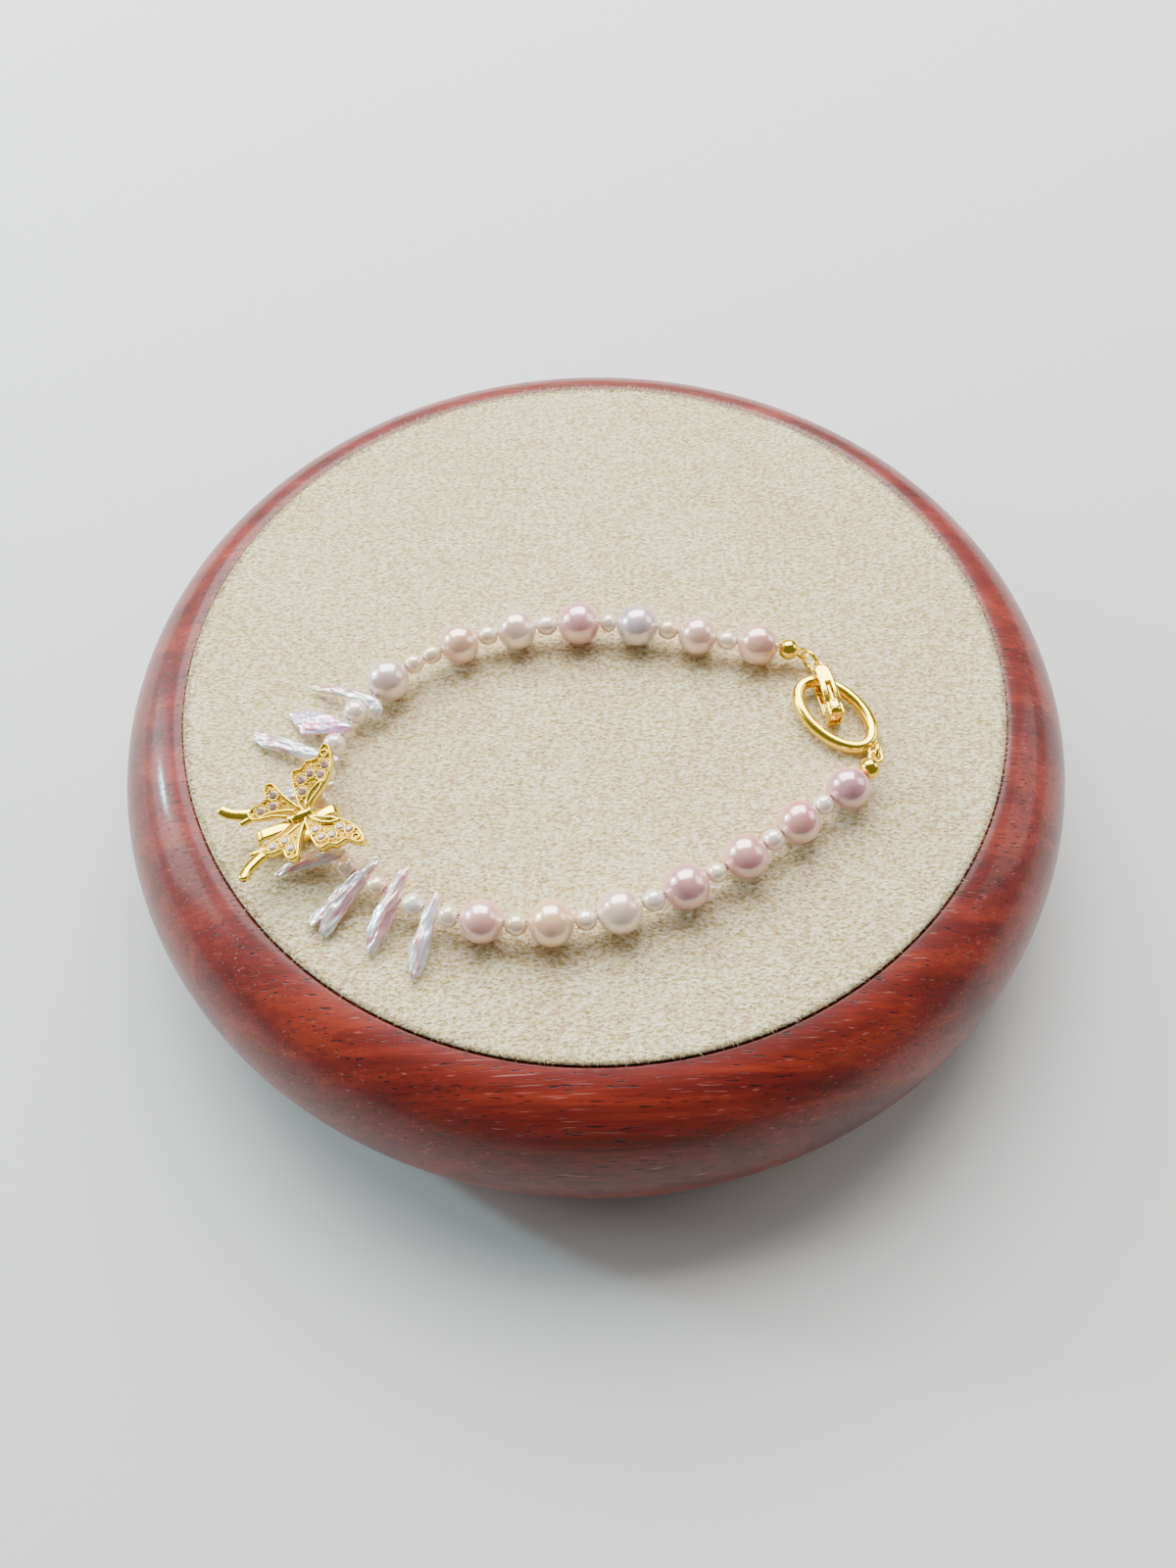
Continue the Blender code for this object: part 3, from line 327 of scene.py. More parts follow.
nap = add_node(tree, "Bump", {
    "Height": fine.outputs[0], "Strength": 0.8, "Distance": 0.0003, "Normal": nap.outputs[0]})
surface(tree, {
    "Base Color": painted_nap_light_and_shade.outputs[0], "Roughness": 0.95, "Specular IOR Level": 0.15,
    "Normal": nap.outputs[0], "Sheen Weight": 0.25, "Sheen Roughness": 0.45,
    "Sheen Tint": linear("#FFF4DC")})
pad = piece_from(pad_mesh, "suede_pad", suede, "bracelet_on_stand", "suede", "stand_pad")

# Nap fibres that stand over the pad's cut edge and cross the groove to the wood: single suede
# hairs of 0.5 to 1.2 mm, drawn 0.08 mm thick, which is coarser than real so that they show.
FIBRE_COUNT = 2600
FIBRE_LENGTHS = (0.5, 1.15)
FIBRE_INSETS = (0.1, 0.7)
FIBRE_LEANS = (30.0, 84.0)
FIBRE_SWINGS = (-55.0, 55.0)
FIBRE_SINK = 0.06
FIBRE_SEED = 41
fibre_rule = random.Random(FIBRE_SEED)
fuzz_mesh = bmesh.new()
for index in range(FIBRE_COUNT):
    turn = math.tau * (index + fibre_rule.random()) / FIBRE_COUNT
    length = fibre_rule.uniform(*FIBRE_LENGTHS)
    root = PAD_RADIUS - fibre_rule.uniform(*FIBRE_INSETS)
    lean = math.radians(fibre_rule.uniform(*FIBRE_LEANS))
    swing = math.radians(fibre_rule.uniform(*FIBRE_SWINGS))
    made = bmesh.ops.create_cone(
        fuzz_mesh, cap_ends=True, segments=3, radius1=0.042, radius2=0.012, depth=length)
    placing = (
        Matrix.Rotation(turn, 4, "Z") @ Matrix.Translation((root, 0.0, PAD_TOP - FIBRE_SINK))
        @ Matrix.Rotation(swing, 4, "Z") @ Matrix.Rotation(lean, 4, "Y")
        @ Matrix.Translation((0.0, 0.0, length * 0.5)))
    bmesh.ops.transform(fuzz_mesh, matrix=placing, verts=made["verts"])
bmesh.ops.scale(fuzz_mesh, vec=(MM, MM, MM), verts=fuzz_mesh.verts)
piece_from(fuzz_mesh, "suede_edge_fibres", suede, "bracelet_on_stand", "suede")

# Beading thread: one twisted cream silk thread through every bead and knotted in the end balls.
# It is the CAD solid, dressed in place.
# Twisted silk: its plies give the eye a fine slanting stripe with a soft sheen, 0.4 mm apart,
# which is coarser than the real twist. The grooves between the plies are painted darker, as shade.
silk, tree = start_material("twisted_silk")
place = add_node(tree, "TexCoord").outputs["Object"]
plies = add_node(tree, "TexWave", {
    "Vector": place, "Scale": 1400.0, "Distortion": 1.5},
    wave_type="BANDS", bands_direction="DIAGONAL")
ply_bump = add_node(tree, "Bump", {
    "Height": plies.outputs[1], "Strength": 0.5, "Distance": 0.00005})
# Painted shade: the colour is darker in the grooves between the plies and lighter on their tops.
ply_painted_shade = add_node(tree, "ValToRGB", {0: plies.outputs[1]}, stops=[
    (0.0, "#C9BFA6"), (1.0, "#F1EBDD")])
surface(tree, {
    "Base Color": ply_painted_shade.outputs[0], "Roughness": 0.5, "Normal": ply_bump.outputs[0],
    "Sheen Weight": 0.4, "Sheen Roughness": 0.4})
for slot_of_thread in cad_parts["thread"].material_slots:
    slot_of_thread.material = silk

# Round pearls: fourteen near-round freshwater pearls, drilled through and strung with a seed
# pearl between them. Each grew a little uneven, and each has its own body colour.
PEARLS = {
    # node: body colour, darker tint that is partly the nacre's own uneven tone and partly a painted
    # reflection of the dark room seen in a pearl's core
    "pearl_01": ("#F6C4A8", "#E49E8C"),
    "pearl_02": ("#F8CCB2", "#E6AA98"),
    "pearl_03": ("#E2CCCA", "#BEA8B4"),
    "pearl_04": ("#F2B2AC", "#DC8A90"),
    "pearl_05": ("#FBDAC4", "#EAB8A6"),
    "pearl_06": ("#F8C6A2", "#E49E86"),
    "pearl_07": ("#F0D4C4", "#D8B0A6"),
    "pearl_08": ("#F8C0AC", "#E2988E"),
    "pearl_09": ("#FFCE9A", "#ECA87E"),
    "pearl_10": ("#FFE8C8", "#EEB8AC"),
    "pearl_11": ("#EEAEA8", "#CE8288"),
    "pearl_12": ("#F4B2A8", "#DA888A"),
    "pearl_13": ("#F2B0A4", "#DC8A84"),
    "pearl_14": ("#ECACA8", "#CC808C"),
}
DRILL_RADIUS = 0.38
MOUTH_ROUND = 0.08
PEARL_TURNS = 56
PEARL_STEPS = 30
PEARL_LUMPS = 0.025
PEARL_RIPPLE = 0.006


def bead_place(name):
    """A drilled bead's matrix, its bore along X, and its half sizes across and along, in mm."""
    solid = bmesh.new()
    solid.from_mesh(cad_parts[name].data)
    bmesh.ops.remove_doubles(solid, verts=solid.verts, dist=1e-6)
    longest = max(edge.calc_length() for edge in solid.edges)
    bore = [edge for edge in solid.edges if edge.calc_length() > longest * 0.8]
    along = Vector()
    middle = Vector()
    for edge in bore:
        reach = edge.verts[1].co - edge.verts[0].co
        along += reach if reach.dot(bore[0].verts[1].co - bore[0].verts[0].co) > 0.0 else -reach
        middle += (edge.verts[0].co + edge.verts[1].co) * 0.5 / len(bore)
    along.normalize()
    spots = [vert.co - middle for vert in solid.verts]
    half_across = max((spot - along * spot.dot(along)).length for spot in spots) / MM
    half_bore = max(abs(spot.dot(along)) for spot in spots) / MM
    half_along = half_bore / math.sqrt(1.0 - (DRILL_RADIUS / half_across) ** 2)
    solid.free()
    side = Vector((0.0, 0.0, 1.0)).cross(along).normalized()
    matrix = Matrix((along, side, along.cross(side))).transposed().to_4x4()
    matrix.translation = middle
    return matrix @ Matrix.Scale(MM, 4), half_across, half_along


def drilled_bead(half_across, half_along, turns, steps, seed, lumps, ripple):
    """A bead about X with rounded drill mouths, made slightly uneven as a grown pearl is."""
    mouth = math.asin((DRILL_RADIUS + MOUTH_ROUND) / half_across)
    profile = [(DRILL_RADIUS, -half_along * math.cos(mouth) + MOUTH_ROUND)]
    for step in range(steps + 1):
        angle = mouth + (math.pi - 2.0 * mouth) * step / steps
        profile.append((half_across * math.sin(angle), -half_along * math.cos(angle)))
    profile.append((DRILL_RADIUS, half_along * math.cos(mouth) - MOUTH_ROUND))
    mesh = lathe(profile, turns, axis=(1.0, 0.0, 0.0), closed=True)
    shift = Vector((seed * 3.7, seed * 1.3, seed * 2.1))
    for vert in mesh.verts:
        outward = vert.co.normalized()
        reach = math.hypot(vert.co.y, vert.co.z) / half_across
        swell = noise.noise(outward * 1.1 + shift) * lumps
        swell += noise.noise(outward * 4.5 - shift) * ripple
        vert.co += outward * swell * half_across * min(1.0, max(0.0, reach - 0.15) * 2.0)
    return mesh


def nacre(name, body, shade, size=1.0):
    """Nacre of one pearl: body colour clouded with a darker tint, partly its own uneven tone and partly a
    painted reflection of the dark room, and the clear lustre of its layers.
    """
    # Grown in thin clear layers and tumbled smooth: the eye sees a soft warm body colour under
    # a sharp bright reflection.
    made, tree = start_material(name)
    place = add_node(tree, "TexCoord").outputs["Object"]
    cloud = add_node(tree, "TexNoise", {
        "Vector": place, "Scale": 260.0 / size, "Detail": 2.0, "Distortion": 0.4})
    blend = add_node(tree, "MapRange", {0: cloud.outputs[0], 1: 0.38, 2: 0.66})
    # The darker tint is partly a painted reflection of the dark room, spread in random clouds.
    tint = add_node(tree, "Mix", {
        0: blend.outputs[0], 6: linear(body), 7: linear(shade)}, data_type="RGBA")
    skin = add_node(tree, "TexNoise", {
        "Vector": place, "Scale": 1300.0 / size, "Detail": 2.0})
    dimple = add_node(tree, "Bump", {
        "Height": skin.outputs[0], "Strength": 0.12, "Distance": 0.0001})
    surface(tree, {
        "Base Color": tint.outputs[2], "Metallic": 0.15, "Roughness": 0.32, "IOR": 2.0,
        "Subsurface Weight": 0.25, "Subsurface Radius": (1.0, 0.55, 0.42), "Subsurface Scale": 0.0008,
        "Normal": dimple.outputs[0], "Coat Weight": 1.0, "Coat Roughness": 0.14, "Coat IOR": 2.5,
        "Sheen Weight": 0.3, "Sheen Roughness": 0.4, "Sheen Tint": linear("#FFEDE4")})
    return made


for index, (name, (body, shade)) in enumerate(PEARLS.items()):
    matrix, half_across, half_along = bead_place(name)
    mesh = drilled_bead(
        half_across, half_along, PEARL_TURNS, PEARL_STEPS, index + 1, PEARL_LUMPS, PEARL_RIPPLE)
    bmesh.ops.transform(mesh, matrix=matrix, verts=mesh.verts)
    piece_from(mesh, name.replace("pearl", "round_pearl"), nacre("nacre_" + name, body, shade),
               "bracelet_on_stand", "nacre", name)

# Seed pearls: small white and cream pearls between the large ones, drilled in the same way.
# Four nacre colours are shared out among them, and one in front is knobbly.
SEED_TINTS = [
    # body colour, darker tint that is partly the nacre's own uneven tone and partly a painted reflection of
    # the dark room
    ("#FFEFD2", "#F6D9B8"), ("#FFF0DE", "#F8DAC8"), ("#FFE4BC", "#EEC89C"), ("#FFECDC", "#F2D2C8")]
SEED_LOOKS = [0, 2, 0, 3, 0, 2, 2, 1, 1, 0, 2, 0, 2, 2, 1, 0, 2, 0, 1, 0, 3, 1]
SEED_TURNS = 36
SEED_STEPS = 18
SEED_UNEVEN = (0.04, 0.01)
KNOBBLY_SEED = "seed_pearl_15"
KNOBBLY_UNEVEN = (0.09, 0.05)
FIRST_SEED_SHIFT = 31
seed_nacre = [
    nacre(f"nacre_seed_{number + 1}", *tints, size=0.5) for number, tints in enumerate(SEED_TINTS)]
for index, look in enumerate(SEED_LOOKS):
    name = f"seed_pearl_{index + 1:02d}"
    matrix, half_across, half_along = bead_place(name)
    uneven = KNOBBLY_UNEVEN if name == KNOBBLY_SEED else SEED_UNEVEN
    mesh = drilled_bead(
        half_across, half_along, SEED_TURNS, SEED_STEPS, index + FIRST_SEED_SHIFT, *uneven)
    bmesh.ops.transform(mesh, matrix=matrix, verts=mesh.verts)
    piece_from(
        mesh, name.replace("pearl", "bead"), seed_nacre[look], "bracelet_on_stand", "nacre", name)

# Stick pearls: thin flat freshwater pearls, drilled near the inner end so that they fan out
# from the strand. Each grew in ridges along its length, and swells and bends in its own way.
STICKS = {
    # place: x, y, z in mm, dip and heading in degrees; colours: dark, middle, light
    # rows: along, drift, half width, lift, half thickness, in mm from the drill hole
    "stick_pearl_01": ((-28.19, -5.88, 29.04, 12.7, 161.2), ("#DDBBAA", "#F1DAC8", "#FFF3E4"), 0.05, [
        (-1.9, 1.9, 0.45, -0.75, 0.34), (-1.7, 1.2, 0.8, -0.4, 0.5), (-1.1, 0.5, 0.9, -0.15, 0.58),
        (-0.2, 0.1, 0.86, 0.0, 0.62), (1.6, -0.2, 0.78, 0.1, 0.55), (3.4, -0.35, 0.68, 0.0, 0.46),
        (5.2, -0.45, 0.64, 0.14, 0.42), (6.8, -0.5, 0.52, 0.0, 0.36), (8.1, -0.6, 0.34, 0.05, 0.26)]),
    "stick_pearl_02": ((-30.82, -10.08, 28.80, 11.9, 167.4), ("#C46CB2", "#F09CCC", "#FFCFE6"), 0.10, [
        (-0.9, 0.1, 0.5, 0.0, 0.4), (0.2, 0.0, 0.9, 0.0, 0.55), (1.6, -0.15, 1.2, 0.0, 0.55),
        (3.0, -0.35, 1.55, 0.05, 0.5), (4.4, -0.5, 1.85, 0.0, 0.45), (5.6, -0.9, 1.5, 0.05, 0.4),
        (6.8, -1.35, 0.95, 0.0, 0.34), (8.0, -1.65, 0.35, 0.0, 0.22)]),
    "stick_pearl_03": ((-32.26, -14.49, 28.80, 8.6, 157.9), ("#D0D0CC", "#F2F0EA", "#FFFFF8"), 0.13, [
        (-1.2, 0.0, 0.4, 0.0, 0.35), (0.0, 0.0, 0.66, 0.0, 0.5), (2.0, -0.05, 0.7, 0.05, 0.52),
        (4.2, -0.1, 0.85, 0.0, 0.5), (6.4, -0.15, 0.95, 0.06, 0.5), (8.4, -0.3, 0.98, 0.0, 0.46),
        (9.9, -0.45, 0.85, 0.05, 0.42), (11.0, -0.6, 0.5, 0.0, 0.3)]),
    "stick_pearl_04": ((-32.60, -18.51, 28.80, 11.4, -175.0), ("#C2C0CC", "#F0D6D0", "#FFE4D0"), 0.08, [
        (-1.5, 0.0, 0.35, 0.0, 0.35), (-0.4, 0.0, 0.7, 0.0, 0.52), (1.4, 0.0, 0.88, 0.0, 0.56),
        (3.4, 0.05, 0.92, 0.0, 0.54), (5.4, 0.12, 0.8, 0.0, 0.48), (7.0, 0.2, 0.6, 0.0, 0.38),
        (8.1, 0.25, 0.34, 0.0, 0.26)]),
    "stick_pearl_05": ((-30.38, -27.56, 28.80, 13.0, -159.6), ("#DE948E", "#F2B6A8", "#FFDECE"), 0.07, [
        (-1.35, 0.1, 0.5, 0.0, 0.36), (-0.4, -0.1, 0.85, 0.0, 0.48), (1.0, -0.4, 1.0, 0.0, 0.5),
        (2.4, -0.75, 1.05, 0.0, 0.5), (3.8, -0.95, 0.95, 0.0, 0.46), (5.2, -1.05, 0.75, 0.0, 0.4),
        (6.5, -0.95, 0.5, 0.0, 0.3), (7.3, -0.85, 0.26, 0.0, 0.2)]),
    "stick_pearl_06": ((-27.08, -30.56, 28.80, 11.5, -130.2), ("#CC9EA6", "#EECCC8", "#FFFAF2"), 0.15, [
        (-2.7, 0.1, 0.3, 0.05, 0.32), (-1.6, 0.0, 0.68, 0.05, 0.54), (0.0, -0.05, 0.88, 0.0, 0.62),
        (1.8, -0.1, 1.1, 0.08, 0.62), (3.6, -0.1, 1.3, 0.0, 0.6), (5.4, -0.05, 1.42, 0.05, 0.56),
        (6.8, 0.0, 1.5, 0.0, 0.5), (7.6, 0.05, 1.4, 0.0, 0.42)]),
    "stick_pearl_07": ((-23.15, -32.92, 28.80, 12.3, -117.7), ("#DA9896", "#F4C0B6", "#F4F6F6"), 0.11, [
        (-3.5, -0.15, 0.3, 0.1, 0.26), (-2.6, -0.15, 0.6, 0.1, 0.46), (-1.0, -0.1, 0.9, 0.05, 0.62),
        (0.6, -0.05, 1.06, 0.05, 0.7), (2.2, 0.05, 1.22, 0.05, 0.7), (3.8, 0.2, 1.2, 0.0, 0.66),
        (5.2, 0.4, 0.98, 0.0, 0.54), (6.3, 0.55, 0.68, 0.0, 0.4), (6.95, 0.6, 0.42, 0.0, 0.28)]),
    "stick_pearl_08": ((-18.96, -35.08, 28.80, 10.9, -105.2), ("#C4A8B2", "#ECD6D4", "#FFFCF6"), 0.09, [
        (-2.1, 0.2, 0.25, 0.1, 0.24), (-1.3, 0.12, 0.5, 0.1, 0.42), (0.1, 0.0, 0.78, 0.05, 0.58),
        (1.7, 0.0, 0.9, 0.0, 0.66), (3.3, 0.05, 1.08, 0.05, 0.72), (4.6, 0.08, 1.14, 0.0, 0.7),
        (5.8, 0.12, 0.95, 0.0, 0.56), (6.9, 0.2, 0.6, 0.0, 0.38), (7.6, 0.26, 0.28, 0.0, 0.22)]),
}
# The sixth stick's outer end is forked: the notch's depth, half width, start and end, in mm.
FORK = {"stick_pearl_06": (1.5, 0.62, 5.9, 7.9)}
STICK_SIDES = 44
STICK_STATIONS = 60
STICK_FULLNESS = 1.8
STICK_END_ROUND = 0.22
STICK_END_SHARES = (0.55, 0.85)


def eased(rows, count):
    """Rows of numbers read off at even steps along a smooth curve through the given rows."""
    drawn = []
    for step in range(count):
        reach = step * (len(rows) - 1) / (count - 1)
        index = min(int(reach), len(rows) - 2)
        share = reach - index
        spots = [rows[min(max(index + shift, 0), len(rows) - 1)] for shift in (-1, 0, 1, 2)]
        drawn.append(tuple(
            0.5 * (2.0 * b + (c - a) * share + (2.0 * a - 5.0 * b + 4.0 * c - d) * share ** 2
                   + (3.0 * b - a - 3.0 * c + d) * share ** 3)
            for a, b, c, d in zip(*spots)))
    return drawn


def sections_along(rows, sides, fullness=2.0, closed=False):
    """Rings of points square to a path of (x, y, z, half width, half height) rows."""
    rings = []
    last = len(rows) - 1
    for index, (x, y, z, half, high) in enumerate(rows):
        before = rows[index - 1 if closed or index else 0]
        after = rows[(index + 1) % len(rows) if closed else min(index + 1, last)]
        heading = Vector([b - a for a, b in zip(before[:3], after[:3])]).normalized()
        across = Vector((-heading.y, heading.x, 0.0)).normalized()
        upward = heading.cross(across)
        ring = []
        for side in range(sides):
            angle = math.tau * side / sides
            flat = math.copysign(abs(math.cos(angle)) ** (2.0 / fullness), math.cos(angle))
            rise = math.copysign(abs(math.sin(angle)) ** (2.0 / fullness), math.sin(angle))
            ring.append(Vector((x, y, z)) + across * half * flat + upward * high * rise)
        rings.append(ring)
    return rings


def loft(mesh, rings, closed=False):
    """Skins rings of points that all have one count into a closed solid."""
    loops = []
    for ring in rings:
        made = bmesh.ops.create_circle(mesh, cap_ends=False, segments=len(ring), radius=1.0)["verts"]
        for vert, spot in zip(made, ring):
            vert.co = spot
        loops.append(list({edge for vert in made for edge in vert.link_edges}))
    pairs = list(zip(loops, loops[1:]))
    if closed:
        pairs.append((loops[-1], loops[0]))
    skin = []
    for near, far in pairs:
        skin += bmesh.ops.bridge_loops(mesh, edges=near + far)["faces"]
    if not closed:
        for loop in (loops[0], loops[-1]):
            skin += bmesh.ops.holes_fill(mesh, edges=loop, sides=0)["faces"]
    bmesh.ops.recalc_face_normals(mesh, faces=skin)


def set_at(x, y, z, dip, heading, roll=0.0):
    """The matrix of a place in mm, its X turned to heading and dipped, as the CAD part's is."""
    turned = Matrix.Rotation(math.radians(heading), 4, "Z")
    dipped = Matrix.Rotation(math.radians(dip), 4, "Y")
    rolled = Matrix.Rotation(math.radians(roll), 4, "X")
    return Matrix.Scale(MM, 4) @ Matrix.Translation((x, y, z)) @ turned @ dipped @ rolled


def stick_nacre(name, heading, colours):
    """Ridged nacre: bands of silver, pink and lilac that run along the stick."""
    # Grown in long thin leaves and left unpolished: the eye sees a silky shine that breaks up
    # on the ridges, about 0.5 mm apart, and changes hue from one to the next.
    made, tree = start_material(name)
    place = add_node(tree, "TexCoord").outputs["Object"]
    turned = add_node(tree, "Mapping", {
        "Vector": place, "Rotation": (0.0, 0.0, -math.radians(heading))}, vector_type="POINT")
    grain = add_node(tree, "Mapping", {
        "Vector": turned.outputs[0], "Scale": (190.0, 800.0, 800.0)})
    bands = add_node(tree, "TexNoise", {
        "Vector": grain.outputs[0], "Scale": 1.0, "Detail": 3.0, "Distortion": 0.8})
    tint = add_node(tree, "ValToRGB", {0: bands.outputs[0]}, stops=[
        (0.32, colours[0]), (0.42, "#DDA0A4"), (0.49, colours[1]), (0.56, "#CDDDE4"),
        (0.62, colours[2]), (0.72, "#D6B4DC")])
    ridges = add_node(tree, "Mapping", {
        "Vector": turned.outputs[0], "Scale": (500.0, 2200.0, 2200.0)})
    ridge = add_node(tree, "TexNoise", {
        "Vector": ridges.outputs[0], "Scale": 1.0, "Detail": 3.0})
    relief = add_node(tree, "Bump", {
        "Height": ridge.outputs[0], "Strength": 0.5, "Distance": 0.00016})
    surface(tree, {
        "Base Color": tint.outputs[0], "Metallic": 0.4, "Roughness": 0.24, "IOR": 1.6,
        "Subsurface Weight": 0.2, "Subsurface Radius": (1.0, 0.6, 0.5), "Subsurface Scale": 0.0006,
        "Normal": relief.outputs[0], "Coat Weight": 1.0, "Coat Roughness": 0.1, "Coat IOR": 2.1})
    return made


for index, (name, (spot, colours, ripple, rows)) in enumerate(STICKS.items()):
    stations = [
        (along, drift, lift, half, high)
        for along, drift, half, lift, high in eased(rows, STICK_STATIONS)]
    first = stations[0]
    last = stations[-1]
    for share in STICK_END_SHARES:
        reach = share * STICK_END_ROUND
        narrow = math.sqrt(1 - share ** 2)
        stations.insert(0, (
            first[0] - reach, first[1], first[2], first[3] * narrow, first[4] * narrow))
        stations.append((last[0] + reach, last[1], last[2], last[3] * narrow, last[4] * narrow))
    mesh = bmesh.new()
    loft(mesh, sections_along(stations, STICK_SIDES, STICK_FULLNESS))
    mesh.normal_update()
    shift = Vector((index * 5.1, index * 2.3, index * 7.7))
    for vert in mesh.verts:
        x, y, z = vert.co
        long_noise = noise.noise(Vector((x * 0.45, y * 2.4, z * 1.2)) + shift)
        fine_noise = noise.noise(Vector((x * 1.3, y * 5.5, z * 4.0)) - shift)
        vert.co += vert.normal * ripple * (long_noise * 2.0 + fine_noise * 0.8)
        if name in FORK:
            depth, spread, start, end = FORK[name]
            share = min(max((vert.co.x - start) / (end - start), 0.0), 1.0)
            vert.co.x -= depth * share * max(0.0, 1.0 - abs(vert.co.y + 0.1) / spread)
    bmesh.ops.transform(mesh, matrix=set_at(*spot), verts=mesh.verts)
    look = stick_nacre("ridged_nacre_" + name[-2:], spot[4], colours)
    piece_from(mesh, name.replace("stick_pearl", "stick"), look, "bracelet_on_stand", "nacre", name)

# Butterfly's wings: cast brass, soldered in pairs to a body and a clip band, polished and gold
# plated. Each wing is a tray with a thick rounded rim. Round cut stones are set in its satin
# floor, each in a ring of tiny gold beads.
# x, y, z in mm, dip and heading in degrees
BUTTERFLY_SPOT = (-32.12, -23.05, 28.80, 0.0, 22.4)
WING_RISE = 8.7
BODY_PITCH = 7.0
BODY_SPOT = Vector((-2.1, 0.0, 2.3))
FOREWING = [
    (0.22, 0.70), (0.74, 0.30), (1.48, 0.52), (2.44, 1.33), (3.70, 2.15), (4.88, 3.40), (5.75, 4.81),
    (6.08, 6.22), (6.00, 7.05), (5.45, 7.42), (4.81, 6.85), (4.14, 6.12), (3.33, 6.20), (2.74, 6.22),
    (2.07, 5.68), (1.18, 5.80), (0.66, 5.33), (0.36, 4.00), (0.22, 2.40)]
HINDWING = [
    (0.55, 0.30), (0.62, 0.95), (0.10, 1.60), (-0.78, 3.25), (-1.30, 4.75), (-1.70, 5.42),
    (-2.42, 5.50), (-2.95, 4.88), (-3.10, 3.78), (-3.90, 3.70), (-4.81, 3.45), (-5.50, 2.92), (-5.50, 2.15),
    (-4.59, 1.62), (-2.81, 1.22), (-0.96, 0.25)]
WING_SECTION = [
    # inset, height
    (0.10, -0.475), (0.0, -0.38), (0.0, 0.16), (0.02, 0.31), (0.08, 0.42), (0.15, 0.475),
    (0.22, 0.475), (0.29, 0.42), (0.33, 0.32), (0.34, 0.20)]
WING_GROUND = [(0.25, 0.0), (0.25, 0.225)]
STONES = [(1.18, 2.81), (1.55, 4.14), (2.74, 4.51), (3.85, 3.85), (4.74, 4.74),
          (-2.07, 3.85), (-2.52, 2.52), (-4.00, 2.59)]
OPEN_SEAT = (5.15, 6.15)
SMALL_BEADS = [(0.78, 1.85), (-4.95, 2.55), (-2.15, 4.80), (-1.25, 2.55), (3.20, 5.35), (4.35, 5.60)]
SMALL_BEAD_RADIUS = 0.2
LEAF = [
    (0.85, 0.72), (1.60, 0.85), (2.50, 1.45), (3.55, 2.15), (4.25, 3.10), (3.45, 3.15), (2.55, 2.85),
    (1.75, 2.25), (1.15, 1.50)]
LEAF_SECTION = [
    # inset, height
    (0.0, 0.10), (0.0, 0.44), (0.04, 0.53), (0.12, 0.60), (0.22, 0.63), (0.34, 0.60), (0.46, 0.55)]
VEIN = [(-0.4, 1.0), (-1.6, 1.55), (-3.0, 1.95), (-4.4, 2.05)]
TAIL = [(-5.15, 2.85), (-5.90, 3.10), (-6.90, 3.62), (-7.55, 4.07), (-8.14, 4.74)]
PRONG = [(-4.90, 2.40), (-5.80, 2.29), (-6.50, 2.22)]
FLOOR_HEIGHT = 0.175
STONE_RADIUS = 0.56
STONE_SIDES = 8
STONE_LIFT = 0.12
SEAT_WIRE = 0.14
MILGRAIN_COUNT = 14
MILGRAIN_RADIUS = 0.155
MILGRAIN_OUT = 0.16
MILGRAIN_GAP = 0.25
STONE_CLEARANCE = 0.05
RIM_INSET = 0.30
STONE_RINGS = [
    # radius and height as shares of the stone's radius
    (0.02, -0.72), (0.55, -0.36), (1.0, -0.05), (1.0, 0.05), (0.80, 0.28), (0.56, 0.42)]


def smooth_outline(points, each=4):
    """A closed smooth curve through outline points, anticlockwise."""
    count = len(points)
    rows = [points[index % count] for index in range(-1, count + 2)]
    drawn = eased(rows, (count + 2) * each + 1)
    outline = [Vector(spot) for spot in drawn[each:each * (count + 1)]]
    area = sum(a.x * b.y - b.x * a.y for a, b in zip(outline, outline[1:] + outline[:1]))
    return outline if area >= 0.0 else outline[::-1]


def inset_outline(outline, inset):
    """An anticlockwise outline moved inwards."""
    moved = []
    for index, spot in enumerate(outline):
        along = (outline[(index + 1) % len(outline)] - outline[index - 1]).normalized()
        moved.append(spot + Vector((-along.y, along.x)) * inset)
    return moved


def tray(mesh, points, section):
    """A solid in a smooth outline, its edge's section rows of inset and height."""
    edge = smooth_outline(points)
    loft(mesh, [
        [Vector((*spot, height)) for spot in inset_outline(edge, inset)] for inset, height in section])


def torus(mesh, centre, radius, wire, turns=28, sides=10):
    """A round wire ring lying flat."""
    x, y, z = centre
    rows = []
    for step in range(turns):
        angle = math.tau * step / turns
        rows.append((
            x + radius * math.cos(angle), y + radius * math.sin(angle), z, wire * 0.5, wire * 0.5))
    loft(mesh, sections_along(rows, sides, closed=True), closed=True)


def strip(mesh, path, half, high, taper=0.75, lift=0.0, steps=16):
    """A flat strip with softened edges and a rounded end."""
    spots = eased(path, steps)
    rows = []
    for step, (x, y) in enumerate(spots):
        share = step / (steps - 1)
        rows.append((x, y, lift, half * (1.0 + (taper - 1.0) * share), high))
    (x, y), (bx, by) = spots[-1], spots[-2]
    ahead = Vector((x - bx, y - by)).normalized() * half * taper
    for share in (0.35, 0.65, 0.85, 0.96):
        rows.append((
            x + ahead.x * share * 0.7, y + ahead.y * share * 0.7, lift,
            half * taper * math.sqrt(1.0 - share ** 2), high * (1.0 - 0.3 * share ** 3)))
    loft(mesh, sections_along(rows, 20, 3.4))


def ball(mesh, centre, radius, turns=8, steps=5):
    """A tiny bead of gold."""
    made = bmesh.ops.create_uvsphere(mesh, u_segments=turns, v_segments=steps, radius=radius)
    bmesh.ops.translate(mesh, vec=centre, verts=made["verts"])


